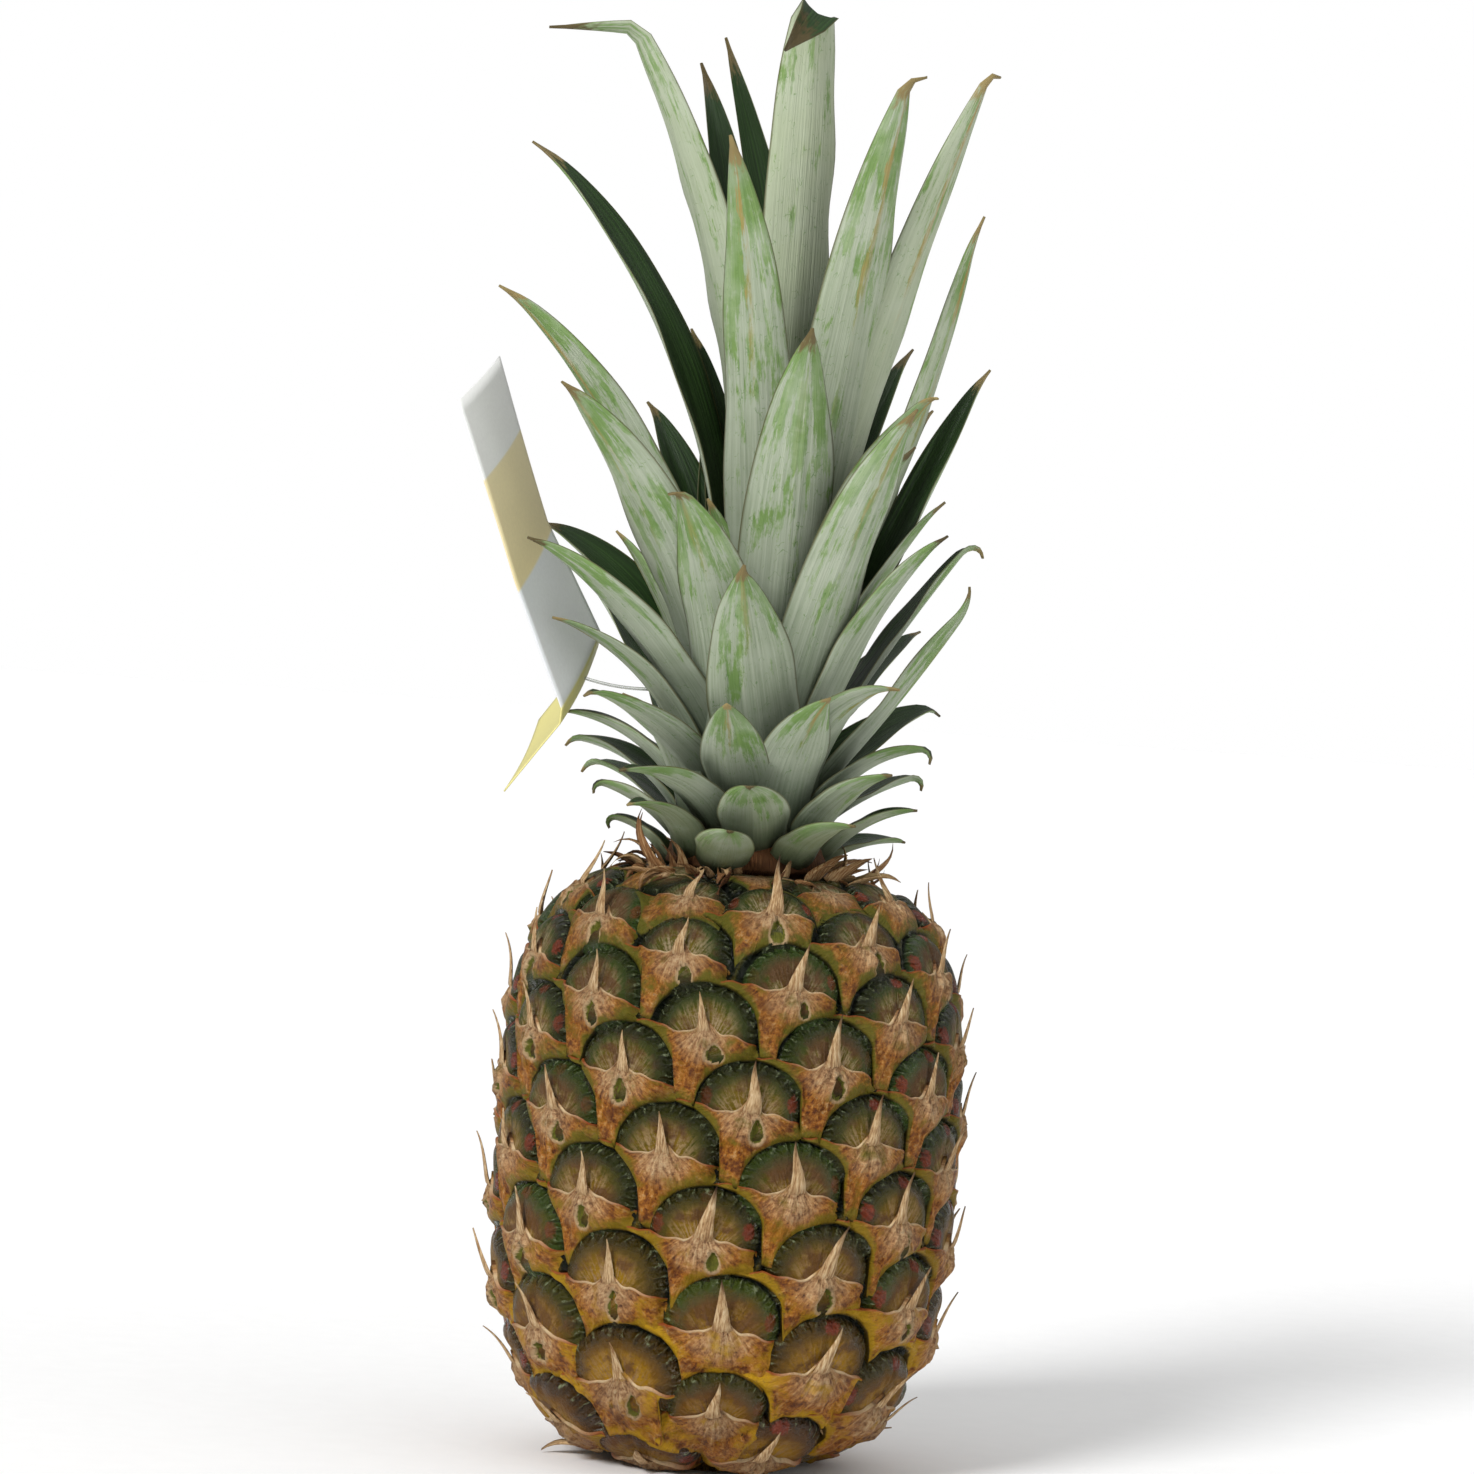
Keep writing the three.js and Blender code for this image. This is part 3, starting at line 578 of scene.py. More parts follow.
@dataclass
class Rind:
    """Waxy rind of the fruit: a domed eye for each fruitlet, with a groove round it that its finish darkens
    with painted shade.
    """

    spiral: Spiral
    columns: int = 384
    rows: int = 228
    eye_half_width: float = 13.2
    eye_half_height: float = 11.5
    eye_middle: float = 2.0
    dome: float = 4.3
    ground: float = 1.9
    hollow: float = 1.1
    crease: float = 0.6
    foot_clear: float = 0.4
    seat_radius: float = 17.0
    seat_depth: float = 2.4
    stalk_radius: float = 10.5
    lump_size: float = 9.0
    wrinkle_size: float = 2.6

    def eyes_at(self, turn: Array, s: Array) -> tuple[Array, Array, Array]:
        """Finds the eye that each point belongs to.

        Args:
            turn: Turns in degrees.
            s: Arc lengths.

        Returns:
            Places in the list of fruitlets, and x and y from the middle of that fruitlet's cell, for a
            fruitlet of full size.
        """
        best = np.full(turn.shape, np.inf)
        owner = np.zeros(turn.shape, int)
        place = np.zeros(turn.shape + (2,))
        for i, f in enumerate(self.spiral.fruitlets.values()):
            x = np.radians(turn_between(f.turn, turn)) * f.radius / f.scale
            y = (s - f.s) / f.scale
            e = self.share_of(x, y)
            near = e < best
            best[near] = e[near]
            owner[near] = i
            place[near] = np.stack([x[near], y[near]], axis=-1)
        return owner, place[..., 0], place[..., 1]

    def share_of(self, x: Any, y: Any) -> Any:
        """How far a point is from the middle of the eye (0) to its rim (1) and past it."""
        return np.hypot(x / self.eye_half_width, (y - self.eye_middle) / self.eye_half_height)

    def height(self, x: Any, y: Any) -> Any:
        """Height of a full-size fruitlet over the barrel.

        Args:
            x: Places across from the middle of its cell.
            y: Places up from there.

        Returns:
            The heights.
        """
        e = self.share_of(x, y)
        dome = self.dome * (1 - np.clip(e, 0, 1) ** 5) ** 0.6
        hollow = self.hollow * (1 - np.clip(e / 0.75, 0, 1) ** 2) ** 2
        crease = self.crease * np.exp(-((x / 0.8) ** 2)) * smooth(3, 8, y) * (1 - smooth(11, 13, y))
        return dome - hollow - crease + self.ground * smooth(1.0, 1.1, e)

    def surface(self, turn: Array, s: Array) -> Array:
        """Height of the smooth rind over the barrel at each turn and arc length.

        Args:
            turn: Turns in degrees.
            s: Arc lengths.

        Returns:
            The heights.
        """
        owner, x, y = self.eyes_at(turn, s)
        facts = np.array([f.scale * f.fade for f in self.spiral.fruitlets.values()])
        return self.height(x, y) * facts[owner]

    def build(self, material: bpy.types.Material) -> bpy.types.Object:
        """Makes the rind, with the flat spot, the cut stalk and the seat of the crown.

        Args:
            material: Its finish.

        Returns:
            The piece.
        """
        barrel = self.spiral.barrel
        fruitlets = list(self.spiral.fruitlets.values())
        arcs = np.linspace(barrel.foot_arc, barrel.neck_arc, self.rows + 1)
        turns = np.linspace(0, 360, self.columns, endpoint=False)
        s, turn = np.meshgrid(arcs, turns, indexing="ij")
        owner, x, y = self.eyes_at(turn, s)
        scale = np.array([f.scale for f in fruitlets])[owner]
        fade = np.array([f.fade for f in fruitlets])[owner]
        share = np.array([f.share for f in fruitlets])[owner]
        ends = smooth(0, 5, s - barrel.foot_arc) * smooth(0, 4, barrel.neck_arc - s)
        flat = barrel.over(turn, s, 0.0).reshape(-1, 3)
        lumps, wrinkles = (
            wander(flat, size, seed).reshape(s.shape) * mix(low, high, smooth(*ends, share))
            for size, seed, low, high, ends in (
                (self.lump_size, 3.1, 1.5, 0.5, (0.1, 0.4)), (self.wrinkle_size, 8.3, 0.9, 0.12, (0.05, 0.3)),
            )
        )
        rise = (self.height(x, y) * scale * fade + (lumps + wrinkles) * 0.5) * ends
        skin = barrel.over(turn, s, rise)
        skin[1:, :, 2] = np.maximum(skin[1:, :, 2], self.foot_clear)
        skin[0, :, 2] = 0.0
        foot = [(0.01, 0), (5, 0), (self.stalk_radius, 0), (11.5, 1.6), (14.5, 1.6), (16, 0)]
        top = barrel.profile[2][-1]
        neck = [(17.6, top - 0.6), (self.seat_radius, top - self.seat_depth), (0.01, top - self.seat_depth)]
        rings = [self._ring(turns, r, z) for r, z in foot] + list(skin)
        rings += [self._ring(turns, r, z) for r, z in neck]
        piece = Piece()
        piece.grid(np.array(rings), closed=True)
        place, kind = self._corners(s, len(foot), len(neck))
        piece.values = {"place": [place], "kind": [kind]}
        return piece.made("rind", material, Slot.RIND, "fruit")

    def _corners(self, s: Array, foot: int, neck: int) -> tuple[Array, Array]:
        """Values at the corners of the faces, all four from the one eye that the face belongs to.

        Args:
            s: Arc lengths of the skin's rows and columns.
            foot: How many rings lie before the skin.
            neck: How many rings lie after it.

        Returns:
            Place from the middle of the fruitlet's cell and kind of the fruitlet, for each corner.
        """
        fruitlets = list(self.spiral.fruitlets.values())
        below, above = s[:-1], s[1:]
        left = np.broadcast_to(np.linspace(0, 360, self.columns, endpoint=False), below.shape)
        right = left + 360 / self.columns
        owner, _, _ = self.eyes_at((left + right) / 2, (below + above) / 2)
        facts = np.array([(f.turn, f.s, f.radius / f.scale, f.scale, f.share, f.chance) for f in fruitlets])
        turn, middle, reach, scale, share, chance = np.moveaxis(facts[owner], -1, 0)
        corners = []
        for t, arc in ((left, below), (right, below), (right, above), (left, above)):
            x = np.radians(turn_between(turn, t)) * reach
            corners.append(np.stack([x, (arc - middle) / scale, np.zeros_like(x)], axis=-1))
        place = np.stack(corners, axis=-2).reshape(-1, 3)
        kind = np.repeat(np.stack([share, chance, np.zeros_like(share)], -1).reshape(-1, 3), 4, axis=0)
        before, after = 4 * self.columns * foot, 4 * self.columns * neck
        place, kind = (
            np.concatenate([np.tile(plain, (before, 1)), values, np.tile(plain, (after, 1))])
            for values, plain in ((place, (0.0, -30.0, 1.0)), (kind, (0.0, 0.5, 1.0)))
        )
        return place, kind

    @staticmethod
    def _ring(turns: Array, radius: float, z: float) -> Array:
        """A ring of points about the axis.

        Args:
            turns: Turns in degrees.
            radius: Its radius.
            z: Its height.

        Returns:
            Rows of x, y and z.
        """
        angle = np.radians(turns)
        return np.stack([radius * np.sin(angle), -radius * np.cos(angle), np.full_like(angle, z)], axis=-1)


@dataclass
class Bracts:
    """Fleshy bracts between the eyes, each a star with concave sides and a thin dry upper edge."""

    rind: Rind
    edge_level: float = 1.1
    left_end: tuple[float, float] = (0.5, 14.6)
    right_end: tuple[float, float] = (2.0, 17.0)
    # Neighbours whose arches may lie below a bract, counted down the spiral, and the left and the right one
    # whose middles its arms reach for, or where they would be, past the spiral's end.
    neighbours: tuple[int, ...] = (3, 5, 8, 13, 21)
    left_number: int = 8
    right_number: int = 13
    left_guess: tuple[float, float] = (-19.0, -11.0)
    right_guess: tuple[float, float] = (17.0, -17.0)
    # How far an arm may reach, and between which heights each one may end.
    reach: tuple[float, float] = (13.0, 20.0)
    left_rise: tuple[float, float] = (-1.0, 5.0)
    right_rise: tuple[float, float] = (-1.6, 4.0)
    flare: float = 3.6
    flare_half: float = 4.3
    lowest: float = 12.3
    deepest: float = 19.0
    least: float = 0.9
    # Rises over the barrel at full size: of the upper edge over the rind, of the flesh, and more at the hub,
    # the raised middle, whose place and half sizes follow.
    edge_rise: float = 0.75
    flesh_rise: float = 3.1
    hub_rise: float = 2.4
    hub: tuple[float, float, float, float] = (0.0, -2.5, 4.5, 5.5)
    # Folds fan out from a point above the hub: its height, then depth and number of the coarse and fine ones.
    fan_top: float = 4.5
    folds: tuple = ((0.42, 13), (0.24, 31))
    split_depth: float = 1.9
    split_lip: float = 0.5
    middle_half: float = 6.5
    middle_columns: int = 23
    side_columns: int = 11
    rows: int = 15
    sunk: float = 1.6
    split_share: float = 0.62
    seed: int = 11

    def _columns(self, left: float, right: float, half: float) -> Array:
        """Places across a bract, close together in its middle.

        Args:
            left: Where it starts.
            right: Where it ends.
            half: Half the width of its middle.

        Returns:
            The places.
        """
        inner = np.linspace(-half, half, self.middle_columns)
        outer_left = left + (-half - left) * np.linspace(0, 1, self.side_columns, endpoint=False) ** 0.8
        outer_right = half + (right - half) * np.linspace(0, 1, self.side_columns)[1:] ** 1.2
        return np.concatenate([outer_left, inner, outer_right])

    def _local(self, f: Fruitlet, number: int) -> tuple[float, float]:
        """Middle of another fruitlet from the middle of this one."""
        turn, s = self.rind.spiral.places[number]
        return math.radians(turn_between(f.turn, turn)) * f.radius, s - f.s

    def outline(self, f: Fruitlet) -> tuple[Array, Array, Array]:
        """Outline of a bract.

        Args:
            f: The fruitlet that it belongs to.

        Returns:
            Places across, and the upper and lower edge at each.
        """
        k = f.scale
        spiral = self.rind.spiral
        first = spiral.first - self.right_number
        places = {m: self._local(f, f.number - m) for m in self.neighbours if f.number - m >= first}
        (left_x, left_y), (right_x, right_y) = (
            np.array(places.get(number, np.array(guess) * k)) + np.array(end) * k
            for number, guess, end in (
                (self.left_number, self.left_guess, self.left_end),
                (self.right_number, self.right_guess, self.right_end),
            )
        )
        near, far = self.reach[0] * k, self.reach[1] * k
        left_x, right_x = -min(max(-left_x, near), far), min(max(right_x, near), far)
        left_y = min(max(left_y, self.left_rise[0] * k), self.left_rise[1] * k)
        right_y = min(max(right_y, self.right_rise[0] * k), self.right_rise[1] * k)
        x = self._columns(left_x, right_x, self.middle_half * k)
        level = self.edge_level * k
        rise_left = (left_y - level) * smooth(5.5 * k, 14.5 * k, -x)
        rise_right = (right_y - level) * smooth(4.5 * k, 15 * k, x)
        flare = self.flare * k * np.clip(1 - np.abs(x) / (self.flare_half * k), 0, 1) ** 1.6
        upper = level + rise_left + rise_right + flare + 0.22 * k * np.sin(x / k * 1.1 + f.chance * 40)
        deep = self.deepest if max(self.neighbours) in places else self.lowest
        bottom = np.abs(x - 0.6 * k) * 0.35 - deep * k
        for m, (mx, my) in places.items():
            inside = 1 - ((x - mx) / (self.rind.eye_half_width * k)) ** 2
            rise = self.rind.eye_half_height * np.sqrt(np.clip(inside, 0, 1))
            arch = my + (self.rind.eye_middle + rise) * k
            gap = (1.2 if m == max(self.neighbours) else 0.12) * k
            bottom = np.where(inside > 0, np.maximum(bottom, arch + gap), bottom)
        return x, upper, np.minimum(bottom, upper - self.least * k)

    def build(self, material: bpy.types.Material) -> bpy.types.Object:
        """Makes all the bracts as one piece of closed shells.

        Args:
            material: Their finish.

        Returns:
            The piece.
        """
        chance = np.random.default_rng(self.seed)
        piece = Piece()
        for f in self.rind.spiral.fruitlets.values():
            self._add(piece, f, chance.random(8))
        return piece.made("bracts", material, Slot.RIND, "fruit")

    def split_of(self, f: Fruitlet, draws: Array) -> tuple[float, float, float, float]:
        """Finds the split below a spine.

        Args:
            f: The fruitlet.
            draws: Random numbers of the fruitlet.

        Returns:
            Its middle and its half sizes, all at full size; one that lies far off is none.
        """
        if draws[0] > self.split_share or f.share < 0.12 or f.share > 0.9:
            return 0.0, -99.0, 1.0, 1.0
        ends = ((0.2, 2.8), (-4.2, -3.2), (1.2, 2.4), (2.4, 4.1))
        x, y, half_width, half_height = (mix(low, high, draw) for (low, high), draw in zip(ends, draws[1:5]))
        return x, y, half_width, half_height

    def _add(self, piece: Piece, f: Fruitlet, draws: Array) -> None:
        """Adds the bract of one fruitlet.

        Args:
            piece: The mesh under construction.
            f: The fruitlet.
            draws: Eight random numbers.
        """
        k = f.scale
        barrel = self.rind.spiral.barrel
        x, upper, bottom = self.outline(f)
        shares = np.linspace(0, 1, self.rows + 1) ** 1.35
        v = np.repeat(shares[:, None], len(x), axis=1)
        flat_x = np.repeat(x[None, :], len(shares), axis=0)
        y = mix(upper[None, :], bottom[None, :], v)
        hx, hy, hw, hh = self.split_of(f, draws)
        px, py = (flat_x / k - hx) / hw, (y / k - hy) / hh
        split = np.sqrt((px / np.clip(1 - 0.42 * py, 0.3, 2)) ** 2 + py**2)
        edge = self.rind.height(flat_x / k, upper[None, :] / k) + self.edge_rise
        below = upper[None, :] - y
        hub_x, hub_y, hub_wide, hub_tall = self.hub
        hub = np.exp(-(((flat_x / k - hub_x) / hub_wide) ** 2) - ((y / k - hub_y) / hub_tall) ** 2)
        rise = mix(edge, self.flesh_rise + self.hub_rise * hub, smooth(0, 3.5 * k, below))
        fan = np.arctan2(flat_x / k, self.fan_top - y / k)
        (deep, few), (shallow, many) = self.folds
        folds = deep * np.sin(fan * few + draws[5] * 9 + 1.6 * np.sin(y / k * 0.7 + draws[6] * 6))
        folds = (folds + shallow * np.sin(fan * many + draws[7] * 9)) * smooth(0.3, 2.5, below)
        rise = (rise + folds) * np.sqrt(1 - smooth(0.6, 1.02, v) * 0.7)
        rise -= self.split_depth * (1 - smooth(0.7, 0.95, split))
        rise += self.split_lip * np.exp(-(((split - 1.05) / 0.16) ** 2))
        rise *= k * f.fade
        skin = self.rind.surface(f.turn + np.degrees(flat_x / f.radius), f.s + y)
        over = 0.45 * k * (1 - smooth(0.0, 0.8, 0.8 * k - (y - bottom[None, :])) * 1.6)
        rise = np.maximum(rise, skin + np.where(split < 1.0, -0.1, over))
        ends = smooth(0, 3 * k, flat_x - x[0]) * smooth(0, 3 * k, x[-1] - flat_x)
        rise = mix(skin - 0.3 * k, rise, ends)
        top = self._over(barrel, f, flat_x, y, rise)
        place = np.stack([flat_x / k, y / k, rise], axis=-1)
        kind = np.stack([np.full_like(y, f.share), np.full_like(y, f.chance), v], axis=-1)
        marks = np.stack([below, y - bottom[None, :], split], axis=-1)
        sunk = np.full((2, len(x)), -self.sunk * k)
        under = self._over(barrel, f, flat_x[[0, -1]], y[[0, -1]], sunk)
        rows = np.concatenate([under[:1], top[:1] * 0.4 + under[:1] * 0.6, top, under[1:]])

        def padded(a: Array) -> Array:
            """Repeats the first row twice before and the last row once after."""
            return np.concatenate([a[:1], a[:1], a, a[-1:]])

        start = piece.grid(rows, flip=True, place=padded(place), kind=padded(kind), marks=padded(marks))
        self._close(piece, start, len(rows), len(x))

    def _over(self, barrel: Barrel, f: Fruitlet, x: Array, y: Array, rise: Array) -> Array:
        """Points over the barrel from places about the middle of a fruitlet.

        Args:
            barrel: The barrel.
            f: The fruitlet.
            x: Places across.
            y: Places up.
            rise: Distances out of the surface.

        Returns:
            Rows of x, y and z, none of them under the foot.
        """
        s = np.clip(f.s + y, barrel.foot_arc - 1, barrel.neck_arc + 2)
        made = barrel.over(f.turn + np.degrees(x / f.radius), s, rise)
        made[..., 2] = np.maximum(made[..., 2], 0.5)
        return made

    @staticmethod
    def _close(piece: Piece, start: int, height: int, width: int) -> None:
        """Closes the underside and the two ends of a shell made as an open grid.

        Args:
            piece: The mesh under construction.
            start: Number of the grid's first point.
            height: How many rows it has.
            width: How many columns.
        """
        last = start + (height - 1) * width
        for j in range(width - 1):
            piece.faces.append((start + j, start + j + 1, last + j + 1, last + j))
        left = [start + i * width for i in range(height)]
        right = [start + i * width + width - 1 for i in range(height)]
        piece.faces.append(tuple(left))
        piece.faces.append(tuple(reversed(right)))


@dataclass
class Spines:
    """Dry papery spines, set by Geometry Nodes on the hubs of all bracts but the topmost."""

    rind: Rind
    kinds: int = 8
    length: float = 13.8
    half: float = 2.45
    tip_half: float = 0.06
    foot: float = -1.4
    stations: int = 10
    columns: int = 5
    # Where a spine stands on its bract, at full size, and up to which share of the spiral bracts have one.
    up: float = 0.4
    rise: float = 3.4
    last_share: float = 0.93
    seed: int = 5

    def _template(self, draws: Array) -> bpy.types.Object:
        """One spine that stands on the origin, up along +Z with its outer face towards -Y.

        Args:
            draws: Five random numbers.

        Returns:
            The template.
        """
        t = np.linspace(0, 1, self.stations + 1)
        along = mix(self.foot, self.length * mix(0.78, 1.05, draws[0]), t)
        half = self.half * (1 - t) ** 1.05 + self.tip_half
        lean = mix(-1.2, 3.6, draws[1]) * t**1.5 + 1.6 * (draws[2] - 0.5) * np.sin(t * 5)
        out = mix(-1.0, 0.6, smooth(0.0, 0.24, t)) + 1.4 * t + mix(0.5, 3.4, draws[3]) * t**3
        out += 0.9 * np.sin(t * math.pi) * draws[4]
        across = np.linspace(-1, 1, self.columns)
        x = lean[:, None] + half[:, None] * across[None, :]
        ridge = (1 - np.abs(across[None, :])) * mix(0.9, 0.25, t)[:, None]
        y = -(out[:, None] + ridge)
        front = np.stack([x, y, np.repeat(along[:, None], self.columns, axis=1)], axis=-1)
        back = front.copy()
        back[..., 1] += (0.18 + 0.5 * (1 - np.abs(across)))[None, :] * mix(1.6, 0.5, t)[:, None]
        piece = Piece()
        piece.shell(front, back, place=(front[..., [0, 2, 1]], back[..., [0, 2, 1]]))
        return linked("spine_template", piece.mesh("spine_template"))

    def build(self, material: bpy.types.Material) -> bpy.types.Object:
        """Makes the spines.

        Args:
            material: Their finish.

        Returns:
            The piece.
        """
        draws = np.random.default_rng(self.seed)
        templates = [self._template(draws.random(5)) for _ in range(self.kinds)]
        barrel = self.rind.spiral.barrel
        chosen = [f for f in self.rind.spiral.fruitlets.values() if f.share < self.last_share]
        points = [
            barrel.over(f.turn, f.s + self.up * f.scale, self.rise * f.scale * f.fade) for f in chosen
        ]
        tilts = [-0.75 * barrel.lean_at(f.s) + mix(-0.1, 0.14, f.chance * 5 % 1) for f in chosen]
        leans = [mix(-0.16, 0.22, f.chance * 11 % 1) for f in chosen]
        turns = [(tilt, lean, math.radians(f.turn)) for f, tilt, lean in zip(chosen, tilts, leans)]
        sizes = [f.scale * mix(0.82, 1.16, f.chance * 3 % 1) for f in chosen]
        kind = [(f.share, f.chance, 0.0) for f in chosen]
        return scattered("spines", points, turns, sizes, kind, templates, material, Slot.RIND, "fruit")


def scattering(name: str, count: int) -> Recipe:
    """Builds the tree that sets templates on points, each with a turn and a size of its own.

    Args:
        name: Name of the tree.
        count: How many templates there are.

    Returns:
        The tree, whose points carry the turns and sizes.
    """
    kinds = {"Points": "Geometry", "Seed": "Int", "Finish": "Material"}
    t = Recipe(name, **kinds, **{f"Template {i}": "Object" for i in range(count)})
    shapes = [
        t.add("ObjectInfo", {"Object": t.given[f"Template {i}"], "As Instance": True}, "Geometry")
        for i in range(count)
    ]
    joined = t.add("JoinGeometry", [shapes[::-1]])
    turn = t.add("InputNamedAttribute", {"Name": "turn"}, data_type="FLOAT_VECTOR")
    size = t.add("InputNamedAttribute", {"Name": "size"}, data_type="FLOAT")
    choice = {"Min": 0, "Max": count - 1, "Seed": t.given["Seed"]}
    t.end(t.add("InstanceOnPoints", {
        "Points": t.given["Points"],
        "Instance": joined,
        "Pick Instance": True,
        "Instance Index": t.add("FunctionNodeRandomValue", choice, 2, data_type="INT"),
        "Rotation": t.add("FunctionNodeEulerToRotation", [turn]),
        "Scale": size,
    }))
    return t


def scattered(
    name: str,
    points: Sequence[Array],
    turns: Sequence[tuple[float, float, float]],
    sizes: Sequence[float],
    kind: Sequence[tuple[float, float, float]],
    templates: Sequence[bpy.types.Object],
    material: bpy.types.Material,
    slot: Slot,
    *nodes: str,
) -> bpy.types.Object:
    """Sets templates on points by Geometry Nodes and keeps the result as a plain mesh.

    Args:
        name: Name of the piece.
        points: Where each one stands, in millimetres.
        turns: Euler angle of each, in radians.
        sizes: Scale of each.
        kind: Three numbers for each, which its material reads.
        templates: The shapes to choose from.
        material: Their finish.
        slot: Its material slot; not used.
        *nodes: CAD nodes that the piece stands for.

    Returns:
        The finished piece.
    """
    mesh = bpy.data.meshes.new(name + "_points")
    mesh.from_pydata((np.array(points) * MM).tolist(), [], [])
    for key, values in (("turn", turns), ("kind", kind)):
        layer = mesh.attributes.new(key, "FLOAT_VECTOR", "POINT")
        layer.data.foreach_set("vector", np.array(values, np.float32).ravel())
    layer = mesh.attributes.new("size", "FLOAT", "POINT")
    layer.data.foreach_set("value", np.array(sizes, np.float32))
    shapes = {f"Template {i}": shape for i, shape in enumerate(templates)}
    t = scattering(name + " on points", len(templates))
    plain = t.result(name, mesh, Seed=len(name), Finish=material, **shapes)
    for shape in templates:
        bpy.data.objects.remove(shape)
    return finished(plain, name, material, slot, *nodes)


@dataclass(frozen=True)
class Leaf:
    """One leaf of the crown: angles in degrees and lengths in millimetres."""

    number: int
    length: float
    lean: float
    tip_lean: float
    sway: float
    tip_sway: float
    width: float
    share: float
    turn: float


# Leaves with a build of their own: number, length, lean at root and tip, sway at root and tip, width.
OWN_LEAVES = (
    (0, 27, 62, 70, 17, 20, 16), (2, 19, 40, 95, -5, -1, 11), (3, 28, 52, 82, -18, 10, 16),
    (5, 27, 34, 98, 19, -3, 15), (6, 25, 42, 82, 0, 0, 12), (7, 41, 43, 86, 5, 14, 13),
    (8, 34, 54, 71, -5, -10, 19), (10, 25, 46, 82, 5, -1, 14), (11, 31, 38, 70, -14, -2, 18),
    (13, 43, 50, 92, 2, -19, 16), (14, 33, 51, 78, 1, 3, 14), (15, 40, 38, 90, -6, 9, 15),
    (16, 46, 31, 54, -11, 4, 20), (18, 38, 20, 57, 13, 3, 18), (19, 38, 28, 90, -9, 3, 17),
    (21, 49, 55, 58, -1, 3, 18), (22, 52, 43, 74, 1, -5, 15), (23, 39, 33, 87, -1, 0, 15),
    (24, 50, 22, 72, -20, 16, 20), (26, 56, 50, 77, 5, -6, 17), (27, 68, 40, 32, -1, 3, 17),
    (29, 71, 31, 39, -16, -14, 24), (30, 70, 46, 62, -5, -6, 14), (31, 59, 22, 72, 15, -8, 18),
    (32, 76, 12, 44, -5, 3, 18), (34, 86, 21, 41, 5, -10, 23), (35, 81, 32, 39, -1, -2, 15),
    (36, 78, 12, 63, -3, 8, 20), (37, 105, 16, 34, 0, 5, 21), (39, 81, 32, 63, 3, -10, 20),
    (40, 77, 10, 38, 0, -1, 17), (45, 106, 5, 42, -4, 1, 20), (47, 113, 26, 48, -2, -12, 22),
    (48, 110, 24, 24, -1, 2, 17), (49, 92, 3, 36, -4, -4, 16), (50, 113, 15, 27, -4, -7, 25),
    (52, 132, 12, 51, 0, -4, 18), (55, 157, 8, 26, 3, -6, 19), (57, 164, -3, 47, -1, 2, 18),
    (58, 174, 7, 20, 2, -5, 24), (61, 139, 26, 9, 0, 2, 13), (65, 174, -4, 32, 0, -6, 20),
    (66, 175, 11, 21, 3, 1, 17), (67, 170, 5, 16, -1, 12, 16), (71, 172, 2, 7, 0, -4, 20),
    (72, 173, 8, -2, -7, 24, 14),
)

# Leaves that the ones in front of them hide: number and length.
HIDDEN_LEAVES = {
    42: 45, 44: 60, 53: 80, 54: 98, 56: 105, 60: 55, 62: 100, 63: 85, 64: 108, 68: 98, 69: 115, 70: 100,
    73: 98,
}

# Leaves that are folded over near their tips: number, where, extra lean and extra sway of the folded part.
FOLDS = {71: (0.89, 150, -40), 65: (0.87, 62, 0)}

# Leaves that twist so that their dark inner faces show: number and angle at the tip.
TWISTS = {57: 24, 49: 40, 36: 30, 48: -22, 35: 15, 22: -20, 72: 20, 65: -32, 52: -16, 61: 38, 27: 22, 66: 14}

# Dry tips that curl: leaf number, where along the leaf it starts, extra lean and extra sway at the end.
TIP_CURLS = {
    66: (0.95, 10, 120), 58: (0.95, 60, 60),
    35: (0.88, 120, 20), 27: (0.84, -40, 0), 24: (0.8, 25, 0), 22: (0.86, 60, 0), 19: (0.84, 120, 0),
    14: (0.82, 120, 0), 26: (0.88, 45, 0), 15: (0.85, 60, 0), 7: (0.8, 70, 0), 10: (0.8, 120, 0),
    2: (0.75, 130, 0), 45: (0.92, 60, -40), 34: (0.93, 80, -40), 29: (0.94, -50, 30),
}


